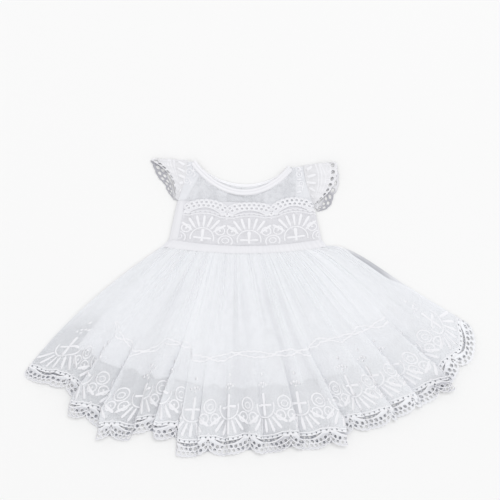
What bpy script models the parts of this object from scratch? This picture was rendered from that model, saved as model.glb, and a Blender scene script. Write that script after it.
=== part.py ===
"""Christening gown for a baby of three to six months, laid out flat on its back.

Metres, +Z up. The gown lies on the XY plane with its neckline towards +Y and its
front facing up. Each cut piece of cloth is its own closed wall.

A skirt panel is a flat slab of cloth that is laid down in three steps. The fan says
where a point of the panel falls between waist and hem. The folds lift it off that
plane. Then each fold leans away from the middle of the gown, so its crest lies over
the trough beside it. Leaning moves every height by its own amount and never mixes
two heights, so a folded wall can't cross itself.
"""
import math
from collections import namedtuple

import bmesh
import bpy
import numpy as np
from mathutils import Vector

# ---------------------------------------------------------------- driving sizes
SEAM_GAP = 0.0003

# Outer skirt, as it fans out from the waist.
WAIST_LEFT_X = -0.138
WAIST_RIGHT_X = 0.124
WAIST_Y = 0.100
WAIST_DIP = 0.011
HEM_MIDDLE_Y = -0.042
HEM_DROP = 0.1955
HEM_REACH_LEFT = 0.392
HEM_REACH_RIGHT = 0.364
HEM_TURN_LEFT = math.radians(-69)
HEM_TURN_RIGHT = math.radians(93)
SIDE_BOW_LEFT = (-0.036, 0.0045)
SIDE_BOW_RIGHT = (-0.0135, 0.0150)
HIP_RIGHT = (0.002, 0.011)
HIP_CURVE = 12.2
SIDE_TURNED = 0.018
BACK_HEM_SHORT = 0.006

# Border lace along the hem.
SCALLOPS = 15
SCALLOP_DEPTH = 0.0145
EYELET_BAND = 0.0154
SLIT_HEIGHT = 0.0160
SLIT_OPENING = 0.0052
SLIT_END_OPENING = 0.0015
SLIT_HALF_SHARE = 0.35
SLIT_BEND = 0.0105
LACE_GROUND = 0.036

# Folds of the outer skirt: crest's place along the laid-out hem, its height, how far
# down the skirt it starts (0 at the waist, 1 at the hem), and how far the hem is drawn
# up there.
Fold = namedtuple("Fold", "along height start drawn_up")
FOLDS = (
    Fold(along=0.050, height=0.0045, start=0.45, drawn_up=0.037),
    Fold(along=0.109, height=0.0090, start=0.35, drawn_up=0.011),
    Fold(along=0.164, height=0.0100, start=0.30, drawn_up=-0.009),
    Fold(along=0.214, height=0.0045, start=0.45, drawn_up=0.018),
    Fold(along=0.260, height=0.0115, start=0.30, drawn_up=0.021),
    Fold(along=0.286, height=0.0040, start=0.45, drawn_up=-0.006),
    Fold(along=0.322, height=0.0050, start=0.40, drawn_up=-0.001),
    Fold(along=0.370, height=0.0060, start=0.30, drawn_up=0.006),
    Fold(along=0.414, height=0.0090, start=0.35, drawn_up=0.006),
    Fold(along=0.472, height=0.0080, start=0.25, drawn_up=0.008),
    Fold(along=0.546, height=0.0110, start=0.30, drawn_up=0.004),
    Fold(along=0.592, height=0.0050, start=0.45, drawn_up=0.016),
    Fold(along=0.638, height=0.0085, start=0.40, drawn_up=0.011),
    Fold(along=0.680, height=0.0102, start=0.25, drawn_up=0.014),
    Fold(along=0.744, height=0.0090, start=0.30, drawn_up=0.005),
    Fold(along=0.798, height=0.0040, start=0.45, drawn_up=0.005),
)
FOLD_GENTLE_SHARE = 0.68
FOLD_LEAN = 3.7
FOLD_REST_SHARE = 0.42
LEAN_MIDDLE = 0.465
LEAN_SPREAD = 0.10
LEAN_EDGE = 0.07
LEAN_LOST_AT_HEM = 0.55
HEM_STEP = 0.8

# Fine gathers where the outer skirt is sewn to the waistband.
GATHERS = 40
GATHER_HEIGHT = 0.0016
GATHER_END = 0.50

# Heights of the stacked layers above the surface that the gown lies on.
WALL = 0.0012
TULLE_WALL = 0.0015
BACK_LINING_FLOOR = 0.0015
FRONT_LINING_FLOOR = 0.0028
LINING_WALL = 0.0010
LINING_WAVES = 6
LINING_WAVE_HEIGHT = 0.0014
BRAID_WALL = 0.0008
BRAID_WIDTH = 0.006
BRAID_WAVES = 7
BRAID_WAVER = 0.006
BRAID_SIDE_RISE = 0.012

# Underskirt.
LINING_LEFT = 0.055
LINING_RIGHT = 0.935
TIER_SEAM = 0.525
TIER_SEAM_GAP = 0.0014
TIER_HEM = 0.655
TIER_GATHERS = 20
TIER_GATHER_HEIGHT = 0.0009

# Bodice.
BAND_HEIGHT = 0.010
BODICE_LEFT_X = -0.128
BODICE_RIGHT_X = 0.116
UNDERARM_LEFT = (-0.114, 0.173)
UNDERARM_RIGHT = (0.103, 0.166)
SHOULDER_LEFT = (-0.098, 0.235)
SHOULDER_RIGHT = (0.087, 0.227)
ARMHOLE_LEFT = (-0.099, 0.204)
ARMHOLE_RIGHT = (0.090, 0.197)
NECK_LEFT = (-0.089, 0.234)
NECK_RIGHT = (0.066, 0.225)
NECK_DEPTH_FRONT = 0.044
NECK_DEPTH_BACK = 0.033
NECK_SQUARE = 0.88
BINDING_WIDTH_FRONT = 0.0100
BINDING_WIDTH_BACK = 0.0050
BINDING_FRONT = (0.0025, 0.0051)
BINDING_BACK = (0.0002, 0.0022)
CENTRE_BACK_X = -0.010
CENTRE_BACK_GAP = 0.0006
BODICE_FLOOR = 0.0026
LACE_OVER_BODICE = (0.0041, 0.0052)
BODICE_LACE_REPEATS = 3
BODICE_LACE_TOP = 0.0887
BODICE_LACE_LEFT = 0.0125
BODICE_LACE_RIGHT = 0.0028
BODICE_LACE_EDGE = 0.1690
BODICE_LACE_EDGE_LEFT = 0.0055
BODICE_LACE_EDGE_RIGHT = 0.0085
BODICE_LACE_EDGE_REACH = 0.09

# Cap sleeves: tip of the cap, and the points that bend its two lace edges.
Sleeve = namedtuple("Sleeve", "shoulder armhole underarm tip front_bend front_end back_bend back_end")
SLEEVE_LEFT = Sleeve(
    shoulder=SHOULDER_LEFT, armhole=ARMHOLE_LEFT, underarm=UNDERARM_LEFT,
    tip=(-0.162, 0.238), front_bend=(-0.116, 0.222), front_end=(-0.1185, 0.178),
    back_bend=(-0.135, 0.197), back_end=(-0.1225, 0.174))
SLEEVE_RIGHT = Sleeve(
    shoulder=SHOULDER_RIGHT, armhole=ARMHOLE_RIGHT, underarm=UNDERARM_RIGHT,
    tip=(0.144, 0.233), front_bend=(0.136, 0.182), front_end=(0.108, 0.170),
    back_bend=(0.143, 0.168), back_end=(0.111, 0.152))
SLEEVE_FRONT_Z = 0.0050
SLEEVE_BACK_Z = 0.0006
SLEEVE_ROLL = 0.14
SLEEVE_WAVES = 4
SLEEVE_WAVE_HEIGHT = 0.0012
SLEEVE_SCALLOPS = 6
SLEEVE_SCALLOP_SHARE = 0.10
SLEEVE_COLUMNS = 48
SLEEVE_ROWS = 4


# ---------------------------------------------------------------- small sums
def ease(share):
    """Smooth step from 0 to 1."""
    share = np.clip(share, 0.0, 1.0)
    return share * share * (3.0 - 2.0 * share)


def hump(share):
    """Rounded rise from 0 to 1, level at both ends."""
    return 0.5 - 0.5 * np.cos(np.pi * np.clip(share, 0.0, 1.0))


def mix(start, end, share):
    return start + (end - start) * share


def bend(start, middle, end, count):
    """Points along a quadratic curve, pulled towards its middle point."""
    share = np.linspace(0.0, 1.0, count)[:, None]
    start, middle, end = (np.array(point, float) for point in (start, middle, end))
    return (1 - share) ** 2 * start + 2 * share * (1 - share) * middle + share ** 2 * end


# ---------------------------------------------------------------- the fan of the skirt
def hem_at_turn(turn):
    reach = np.where(turn < 0.0, HEM_REACH_LEFT, HEM_REACH_RIGHT)
    return np.stack([reach * np.sin(turn), HEM_MIDDLE_Y - HEM_DROP * np.cos(turn)], -1)


HEM_TURNS = np.linspace(HEM_TURN_LEFT, HEM_TURN_RIGHT, 801)
HEM_STEPS = np.linalg.norm(np.diff(hem_at_turn(HEM_TURNS), axis=0), axis=1)
HEM_RUN = np.concatenate([[0.0], np.cumsum(HEM_STEPS)])
HEM_LENGTH = HEM_RUN[-1]


def hem_point(across):
    return hem_at_turn(np.interp(across * HEM_LENGTH, HEM_RUN, HEM_TURNS))


def waist_point(across):
    x = mix(WAIST_LEFT_X, WAIST_RIGHT_X, across)
    y = WAIST_Y - WAIST_DIP * 4.0 * across * (1.0 - across)
    return np.stack([x, y], -1)


def fan(across, down):
    """Where a point of the flat panel falls: across it 0 to 1, down it 0 to 1."""
    waist = waist_point(across)
    hem = hem_point(across)
    left = np.maximum(0.0, 1.0 - 2.0 * across)[..., None] ** 1.5
    right = np.maximum(0.0, 2.0 * across - 1.0)[..., None] ** 1.5
    middle = 0.5 * (waist + hem) + left * np.array(SIDE_BOW_LEFT) + right * np.array(SIDE_BOW_RIGHT)
    share = down[..., None]
    hip = HIP_CURVE * share * (1 - share) ** 4 * right * np.array(HIP_RIGHT)
    return (1 - share) ** 2 * waist + 2 * share * (1 - share) * middle + share ** 2 * hem + hip


def drop_length(across):
    """Length of the panel from waist to hem."""
    return np.linalg.norm(hem_point(across) - waist_point(across), axis=-1)


def step_along_x(across, down):
    """How far across and down the panel one metre along X goes."""
    tiny = 0.002
    low = np.clip(across - tiny, 0.0, 1.0)
    high = np.clip(across + tiny, 0.0, 1.0)
    along_across = (fan(high, down) - fan(low, down)) / (high - low)[..., None]
    along_down = (fan(across, down + tiny) - fan(across, down - tiny)) / (2 * tiny)
    area = along_across[..., 0] * along_down[..., 1] - along_across[..., 1] * along_down[..., 0]
    return along_down[..., 1] / area, -along_across[..., 1] / area


# ---------------------------------------------------------------- folds of the skirt
def fold_feet():
    """Troughs between the crests: the steep side of each fold faces away from the middle."""
    crests = [fold.along / HEM_LENGTH for fold in FOLDS]
    feet = [0.0]
    for first, second in zip(crests, crests[1:]):
        if second < LEAN_MIDDLE:
            share = FOLD_GENTLE_SHARE
        elif first > LEAN_MIDDLE:
            share = 1.0 - FOLD_GENTLE_SHARE
        else:
            share = 0.5
        feet.append(mix(first, second, share))
    return crests, feet + [1.0]


CRESTS, FEET = fold_feet()


def hem_steps():
    """Places across the hem and how far it is drawn up there: it steps on the steep sides."""
    places, rises = [0.0], [0.0]
    for number, fold in enumerate(FOLDS[:-1]):
        crest, following = CRESTS[number], CRESTS[number + 1]
        share = (FEET[number + 1] - crest) / (following - crest)
        step = 0.5 + HEM_STEP * (0.5 - share)
        places += [crest, FEET[number + 1]]
        rises += [fold.drawn_up, mix(fold.drawn_up, FOLDS[number + 1].drawn_up, step)]
    return places + [CRESTS[-1], 1.0], rises + [FOLDS[-1].drawn_up, 0.0]


HEM_PLACES, HEM_RISES = hem_steps()


def drawn_up(across):
    """How far the hem is drawn up towards the waist, on top of the scallops."""
    return np.interp(across, HEM_PLACES, HEM_RISES)


def fold_lift(across, down):
    lift = np.zeros_like(across)
    for number, fold in enumerate(FOLDS):
        crest = CRESTS[number]
        rise = (across - FEET[number]) / (crest - FEET[number])
        fall = (FEET[number + 1] - across) / (FEET[number + 1] - crest)
        lift += fold.height * ease((down - fold.start) / (0.97 - fold.start)) * hump(np.minimum(rise, fall))
    return lift


def fold_reach(across, down):
    """Smooth height of the folds around a place, crests and troughs alike."""
    heights = [fold.height for fold in FOLDS]
    return np.interp(across, CRESTS, heights) * ease((down - 0.3) / 0.65)


def gather_lift(cloth, down):
    """Fine gathers that fade out below the waist; cloth runs 0 to 1 along the uncut edge."""
    wave = 0.5 + 0.5 * np.cos(2 * np.pi * GATHERS * cloth)
    return GATHER_HEIGHT * (1.0 - ease(down / GATHER_END)) * wave


def lean(across, down):
    side = np.tanh((across - LEAN_MIDDLE) / LEAN_SPREAD)
    edge = ease(np.minimum(across, 1.0 - across) / LEAN_EDGE)
    upright = 1.0 - LEAN_LOST_AT_HEM * ease((down - 0.86) / 0.14)
    return FOLD_LEAN * side * edge * upright * ease((down - 0.15) / 0.55)


# ---------------------------------------------------------------- stacked layers
def over_lining(across):
    """1 over the underskirt, falling to 0 at the side seams of the gown."""
    inside = np.minimum(across / LINING_LEFT, (1.0 - across) / (1.0 - LINING_RIGHT))
    return ease(inside)


def lining_wave(across, down):
    wave = 0.5 - 0.5 * np.cos(2 * np.pi * LINING_WAVES * across)
    return LINING_WAVE_HEIGHT * ease((down - 0.1) / 0.6) * wave * over_lining(across)


def tulle_floor(across, down):
    """Lowest height that the front of the outer skirt may have."""
    side_floor = WALL + SEAM_GAP
    lining_top = FRONT_LINING_FLOOR + LINING_WALL + lining_wave(across, down)
    raised = BRAID_WALL + TIER_GATHER_HEIGHT
    over_braid = lining_top + 2 * SEAM_GAP + raised * ease((down - 0.25) / 0.2)
    past_lining = ease((down - TIER_HEM - 0.03) / 0.30)
    return mix(side_floor, mix(over_braid, side_floor, 0.75 * past_lining), over_lining(across))


def skirt_point(across, down, lift):
    """A point of the folded outer skirt, lift being its height over the skirt's own floor."""
    shift = lean(across, down) * (lift - FOLD_REST_SHARE * fold_reach(across, down))
    across_step, down_step = step_along_x(across, down)
    across = np.clip(across + shift * across_step, 0.0, 1.0)
    down = down + shift * down_step
    flat = fan(across, down)
    return np.concatenate([flat, (tulle_floor(across, down) + lift)[..., None]], -1)


def cloth_shares():
    """Places across the fan for equal lengths of cloth, measured along the folded border."""
    across = np.linspace(0.0, 1.0, 1601)
    down = np.full_like(across, 0.93)
    line = skirt_point(across, down, fold_lift(across, down))
    run = np.concatenate([[0.0], np.cumsum(np.linalg.norm(np.diff(line, axis=0), axis=1))])
    return across, run / run[-1]


CLOTH_ACROSS, CLOTH_RUN = cloth_shares()


def across_at(cloth):
    return np.interp(cloth, CLOTH_RUN, CLOTH_ACROSS)


# ---------------------------------------------------------------- border lace
def in_scallop(repeats):
    """Place in the scallop: -1 and 1 at its notches, 0 at its middle."""
    return 2.0 * np.mod(repeats, 1.0) - 1.0


def scallop_rise(place):
    """Height of the scalloped edge: flat in the middle, steep beside the notches."""
    return SCALLOP_DEPTH * (1.0 - (1.0 - np.abs(place) ** 2.2) ** 0.62)


def slit_edges(place):
    """Lower and upper edge of the slit that runs over the eyelets of each scallop."""
    share = np.minimum(1.0, np.abs(place) / (2 * SLIT_HALF_SHARE)) ** 2
    low = np.maximum(SLIT_HEIGHT + SLIT_BEND * share, scallop_rise(place) + EYELET_BAND)
    return low, low + mix(SLIT_OPENING, SLIT_END_OPENING, share)


def lace_rows(cloth):
    """Distances above the hem of the rows that follow the border lace, hem first."""
    place = in_scallop(cloth * SCALLOPS)
    edge = scallop_rise(place)
    low, high = slit_edges(place)
    return edge, mix(edge, low, 0.5), low, high, LACE_GROUND + 0 * edge


def slit_columns(columns):
    """Columns of faces that the slit of each scallop runs through."""
    per_scallop = columns // SCALLOPS
    middles = [(column + 0.5) % per_scallop / per_scallop for column in range(columns)]
    return {column for column, place in enumerate(middles) if abs(place - 0.5) < SLIT_HALF_SHARE}


# ---------------------------------------------------------------- building
def start_scene():
    for thing in list(bpy.data.objects):
        bpy.data.objects.remove(thing, do_unlink=True)
    gown = bpy.data.collections.new("christening_gown")
    bpy.context.scene.collection.children.link(gown)
    return gown


def cloth_material(name, colour, roughness, sheen):
    material = bpy.data.materials.new(name)
    material.use_nodes = True
    shader = material.node_tree.nodes["Principled BSDF"]
    shader.inputs["Base Color"].default_value = (*colour, 1.0)
    shader.inputs["Roughness"].default_value = roughness
    shader.inputs["Metallic"].default_value = 0.0
    shader.inputs["Sheen Weight"].default_value = sheen
    return material


def add_piece(gown, name, mesh, material):
    mesh.materials.clear()
    mesh.materials.append(material)
    piece = bpy.data.objects.new(name, mesh)
    gown.objects.link(piece)
    return piece


def face_outwards(work):
    bmesh.ops.recalc_face_normals(work, faces=work.faces[:])
    if work.calc_volume(signed=True) < 0.0:
        bmesh.ops.reverse_faces(work, faces=work.faces[:])


def slab(columns, rows, place, cut=()):
    """A closed wall from a flat grid: place(column, row, side) puts its two faces."""
    work = bmesh.new()
    bmesh.ops.create_grid(work, x_segments=columns, y_segments=rows, size=1.0)
    gone = []
    for face in work.faces:
        centre = face.calc_center_median()
        column = int((centre.x + 1.0) / 2.0 * columns)
        row = int((centre.y + 1.0) / 2.0 * rows)
        if (column, row) in cut:
            gone.append(face)
    bmesh.ops.delete(work, geom=gone, context="FACES")
    raised = bmesh.ops.extrude_face_region(work, geom=work.faces[:], use_keep_orig=True)
    top = [item for item in raised["geom"] if isinstance(item, bmesh.types.BMVert)]
    bmesh.ops.translate(work, verts=top, vec=(0.0, 0.0, 1.0))
    grid = np.array([vert.co for vert in work.verts])
    points = place(
        np.rint((grid[:, 0] + 1.0) / 2.0 * columns).astype(int),
        np.rint((grid[:, 1] + 1.0) / 2.0 * rows).astype(int),
        grid[:, 2])
    for vert, point in zip(work.verts, points):
        vert.co = Vector(point)
    face_outwards(work)
    mesh = bpy.data.meshes.new("slab")
    work.to_mesh(mesh)
    work.free()
    mesh.shade_smooth()
    mesh.set_sharp_from_angle(angle=math.radians(50))
    return mesh


def flat_panel(outline, low, high, openings=()):
    """A flat cut piece: its outline and its openings, filled and given a wall."""
    curve = bpy.data.curves.new("outline", "CURVE")
    curve.dimensions = "2D"
    curve.fill_mode = "BOTH"
    curve.extrude = (high - low) / 2.0
    for loop in (outline, *openings):
        spline = curve.splines.new("POLY")
        spline.points.add(len(loop) - 1)
        for point, place in zip(spline.points, loop):
            point.co = (place[0], place[1], 0.0, 1.0)
        spline.use_cyclic_u = True
    shape = bpy.data.objects.new("outline", curve)
    bpy.context.scene.collection.objects.link(shape)
    bpy.context.view_layer.update()
    ready = shape.evaluated_get(bpy.context.evaluated_depsgraph_get())
    mesh = bpy.data.meshes.new_from_object(ready)
    bpy.data.objects.remove(shape, do_unlink=True)
    work = bmesh.new()
    work.from_mesh(mesh)
    bmesh.ops.remove_doubles(work, verts=work.verts[:], dist=0.00001)
    bmesh.ops.translate(work, verts=work.verts[:], vec=(0.0, 0.0, (low + high) / 2.0))
    face_outwards(work)
    work.to_mesh(mesh)
    work.free()
    return mesh


def bound_edge(line, width, low, high):
    """A satin binding: a round tube along a level line, pressed flat."""
    curve = bpy.data.curves.new("binding", "CURVE")
    curve.dimensions = "3D"
    curve.bevel_depth = width / 2.0
    curve.bevel_resolution = 2
    curve.use_fill_caps = True
    spline = curve.splines.new("POLY")
    spline.points.add(len(line) - 1)
    for point, place in zip(spline.points, line):
        point.co = (place[0], place[1], 0.0, 1.0)
    shape = bpy.data.objects.new("binding", curve)
    bpy.context.scene.collection.objects.link(shape)
    bpy.context.view_layer.update()
    ready = shape.evaluated_get(bpy.context.evaluated_depsgraph_get())
    mesh = bpy.data.meshes.new_from_object(ready)
    bpy.data.objects.remove(shape, do_unlink=True)
    work = bmesh.new()
    work.from_mesh(mesh)
    bmesh.ops.remove_doubles(work, verts=work.verts[:], dist=0.00001)
    pressed = Vector((1.0, 1.0, (high - low) / width))
    bmesh.ops.scale(work, verts=work.verts[:], vec=pressed)
    bmesh.ops.translate(work, verts=work.verts[:], vec=(0.0, 0.0, (low + high) / 2.0))
    face_outwards(work)
    work.to_mesh(mesh)
    work.free()
    mesh.shade_smooth()
    return mesh


# ---------------------------------------------------------------- skirt pieces
FRONT_DOWNS = (0.0, 0.06, 0.14, 0.24, 0.36, 0.49, 0.62, 0.74, 0.84, 0.93)
BACK_DOWNS = (0.0, 0.52)


def skirt_grid(columns, column, row, downs, hem_short):
    """Cloth, across and down values for a skirt panel: downs are shares of the way to the lace."""
    cloth = column / columns
    across = across_at(cloth)
    lace = np.stack(lace_rows(cloth)[::-1])
    lace_down = 1.0 - (lace + drawn_up(across) + hem_short) / drop_length(across)
    upper = np.array(downs)[:, None] * lace_down[0]
    table = np.concatenate([upper, lace_down])
    return cloth, across, table[row, np.arange(len(cloth))]


def slits(columns, rows):
    slit_row = rows - 3
    return {(column, slit_row) for column in slit_columns(columns)}


def turned_in(across, down):
    """The front is turned in along its right side, where the back shows beside it."""
    return SIDE_TURNED * ease((across - 0.90) / 0.10) * ease((down - 0.10) / 0.12) * ease((0.60 - down) / 0.2)


def make_skirt_front():
    columns = 8 * SCALLOPS
    rows = len(FRONT_DOWNS) + 4

    def place(column, row, side):
        cloth, across, down = skirt_grid(columns, column, row, FRONT_DOWNS, 0.0)
        across = across - turned_in(across, down)
        lift = fold_lift(across, down) + gather_lift(cloth, down) + side * TULLE_WALL
        return skirt_point(across, down, lift)

    return slab(columns, rows, place, slits(columns, rows))


def make_skirt_back():
    columns = 6 * SCALLOPS
    rows = len(BACK_DOWNS) + 4

    def place(column, row, side):
        cloth, across, down = skirt_grid(columns, column, row, BACK_DOWNS, BACK_HEM_SHORT)
        flat = fan(column / columns, down)
        return np.concatenate([flat, (side * WALL)[:, None]], -1)

    return slab(columns, rows, place, slits(columns, rows))


def lining_across(column, columns):
    return mix(LINING_LEFT, LINING_RIGHT, column / columns)


def make_underskirt(columns, rows, top, bottom, floor, wave):
    """A plain panel of the underskirt between two heights of the fan."""

    def place(column, row, side):
        across = lining_across(column, columns)
        down = mix(top, bottom, row / rows)
        height = floor + wave(across, down) + side * LINING_WALL
        return np.concatenate([fan(across, down), height[:, None]], -1)

    return slab(columns, rows, place)


def tier_wave(across, down):
    """The tier is gathered a little where it hangs from the seam."""
    ruffle = 0.5 + 0.5 * np.cos(2 * np.pi * TIER_GATHERS * across)
    return lining_wave(across, down) + TIER_GATHER_HEIGHT * ruffle


def no_wave(across, down):
    return 0.0 * across


def make_braid():
    """Narrow braid that covers the seam between underskirt and tier."""
    columns = 40

    def place(column, row, side):
        across = lining_across(column, columns)
        waver = BRAID_WAVER * np.sin(2 * np.pi * BRAID_WAVES * across)
        side_rise = BRAID_SIDE_RISE * (2 * across - 1) ** 2
        width = BRAID_WIDTH / drop_length(across)
        down = TIER_SEAM - waver - side_rise + width * (row - 0.5)
        ground = FRONT_LINING_FLOOR + LINING_WALL + lining_wave(across, down) + TIER_GATHER_HEIGHT
        height = ground + SEAM_GAP + side * BRAID_WALL
        return np.concatenate([fan(across, down), height[:, None]], -1)

    return slab(columns, 1, place)


# ---------------------------------------------------------------- bodice pieces
def waist_line(raise_by, count=17):
    """Level line above the skirt's top edge, left to right."""
    share = np.linspace(0.0, 1.0, count)
    x = mix(mix(WAIST_LEFT_X, BODICE_LEFT_X, raise_by / BAND_HEIGHT),
            mix(WAIST_RIGHT_X, BODICE_RIGHT_X, raise_by / BAND_HEIGHT), share)
    y = WAIST_Y - WAIST_DIP * 4.0 * share * (1.0 - share) + raise_by
    return np.stack([x, y], -1)


def neck_line(depth, count=25):
    """Round neckline between the shoulders, left to right."""
    share = np.linspace(0.0, 1.0, count)
    x = mix(NECK_LEFT[0], NECK_RIGHT[0], share)
    y = mix(NECK_LEFT[1], NECK_RIGHT[1], share) - depth * (4.0 * share * (1.0 - share)) ** NECK_SQUARE
    return np.stack([x, y], -1)


def beside(line, distance):
    """The line moved sideways, to its right for a positive distance."""
    along = np.gradient(line, axis=0)
    along /= np.linalg.norm(along, axis=1)[:, None]
    return line + distance * np.stack([along[:, 1], -along[:, 0]], -1)


def armhole_left():
    """From shoulder to underarm."""
    line = bend(SHOULDER_LEFT, ARMHOLE_LEFT, UNDERARM_LEFT, 7)
    return beside(line, -2 * SEAM_GAP)


def armhole_right():
    line = bend(SHOULDER_RIGHT, ARMHOLE_RIGHT, UNDERARM_RIGHT, 7)
    return beside(line, 2 * SEAM_GAP)


def yoke_outline(depth, binding_width):
    """Sheer upper part: under the neck binding and above the line between the underarms."""
    neck = beside(neck_line(depth), binding_width / 2 + SEAM_GAP)
    return np.concatenate([neck, armhole_right(), armhole_left()[::-1]])


def body_outline():
    """Lower part of the bodice, from the underarms down to the waistband."""
    left, right = armhole_left()[-1], armhole_right()[-1]
    waist = waist_line(BAND_HEIGHT + SEAM_GAP)
    drop = np.array([0.0, -SEAM_GAP])
    side_right = bend(right + drop, mix(right, waist[-1], 0.5) + (-0.001, 0.0), waist[-1], 5)
    side_left = bend(waist[0], mix(left, waist[0], 0.5) + (0.001, 0.0), left + drop, 5)
    return np.concatenate([side_right[:-1], waist[::-1], side_left[1:]])


def clip_at_x(outline, limit, keep):
    """The part of an outline on one side of an upright line; keep is -1 left or 1 right."""
    kept = []
    for here, there in zip(outline, np.roll(outline, -1, axis=0)):
        inside = keep * (here[0] - limit) >= 0.0
        crosses = (here[0] - limit) * (there[0] - limit) < 0.0
        if inside:
            kept.append(here)
        if crosses:
            kept.append(mix(here, there, (limit - here[0]) / (there[0] - here[0])))
    return np.array(kept)


def on_bodice(repeats, above_edge):
    """Where a point of the bodice's border lace falls: its scallops point at the neck."""
    along = repeats / BODICE_LACE_REPEATS
    guess = mix(BODICE_LEFT_X + BODICE_LACE_LEFT, BODICE_RIGHT_X, along)
    side = ease(np.abs(guess) / BODICE_LACE_EDGE_REACH)
    edge = BODICE_LACE_EDGE + side * np.where(guess < 0.0, BODICE_LACE_EDGE_LEFT, BODICE_LACE_EDGE_RIGHT)
    share = (guess - BODICE_LEFT_X) / (BODICE_RIGHT_X - BODICE_LEFT_X)
    waist = WAIST_Y - WAIST_DIP * 4.0 * share * (1.0 - share) + BAND_HEIGHT + SEAM_GAP
    y = mix(edge, waist, above_edge / BODICE_LACE_TOP)
    rise = (y - WAIST_Y) / (UNDERARM_LEFT[1] - WAIST_Y)
    left = mix(BODICE_LEFT_X, UNDERARM_LEFT[0], rise) + BODICE_LACE_LEFT
    right = mix(BODICE_RIGHT_X, UNDERARM_RIGHT[0], rise) - BODICE_LACE_RIGHT
    return np.stack([mix(left, right, along), y], -1)


def bodice_slits():
    """Slits of the border lace, as on the hem but turned over."""
    loops = []
    for number in range(BODICE_LACE_REPEATS):
        repeats = number + 0.5 + np.linspace(-SLIT_HALF_SHARE, SLIT_HALF_SHARE, 9)
        low, high = slit_edges(in_scallop(repeats))
        loops.append(np.concatenate([on_bodice(repeats, low), on_bodice(repeats, high)[::-1]]))
    return loops


def bodice_lace_outline():
    repeats = np.linspace(BODICE_LACE_REPEATS, 0.0, 49)
    edge = on_bodice(repeats, scallop_rise(in_scallop(repeats)))
    top = on_bodice(repeats[::-3], 0.0 * repeats[::-3] + BODICE_LACE_TOP)
    return np.concatenate([edge, top])


def make_sleeve(sleeve):
    """Lace cap, folded over the shoulder: half its columns lie in front, half behind."""
    columns, rows = SLEEVE_COLUMNS, SLEEVE_ROWS
    outward = math.copysign(1.0, sleeve.tip[0])
    count = 401
    seam = bend(sleeve.underarm, sleeve.armhole, sleeve.shoulder, count)
    seam = beside(seam, outward * SEAM_GAP)
    edges = {
        1: bend(sleeve.front_end, sleeve.front_bend, sleeve.tip, count),
        -1: bend(sleeve.back_end, sleeve.back_bend, sleeve.tip, count)}

    def place(column, row, side):
        share = column / columns
        reach = row / rows
        roll = hump((share - 0.5 + SLEEVE_ROLL / 2) / SLEEVE_ROLL)
        along = np.minimum(1.0, np.minimum(share, 1.0 - share) / (0.5 - SLEEVE_ROLL / 2))
        index = np.rint(along * (count - 1)).astype(int)
        scallop = np.abs(np.sin(np.pi * SLEEVE_SCALLOPS * share))
        spread = reach * (1.0 - SLEEVE_SCALLOP_SHARE * (1.0 - scallop))
        front = share < 0.5
        edge = np.where(front[:, None], edges[1][index], edges[-1][index])
        flat = mix(seam[index], edge, spread[:, None])
        turn = np.pi * roll
        radius = (SLEEVE_FRONT_Z - SLEEVE_BACK_Z) / 2.0
        ruffle = SLEEVE_WAVE_HEIGHT * reach * (0.5 + 0.5 * np.cos(2 * np.pi * SLEEVE_WAVES * along))
        wave = ruffle * (1.0 - roll) * ease(along * 5.0)
        wall = (side - 0.5) * WALL
        y = flat[:, 1] + (radius + wall) * np.sin(turn)
        z = SLEEVE_BACK_Z + radius + (radius + wall) * np.cos(turn) + wave
        return np.stack([flat[:, 0], y, z], -1)

    return slab(columns, rows, place)


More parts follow.
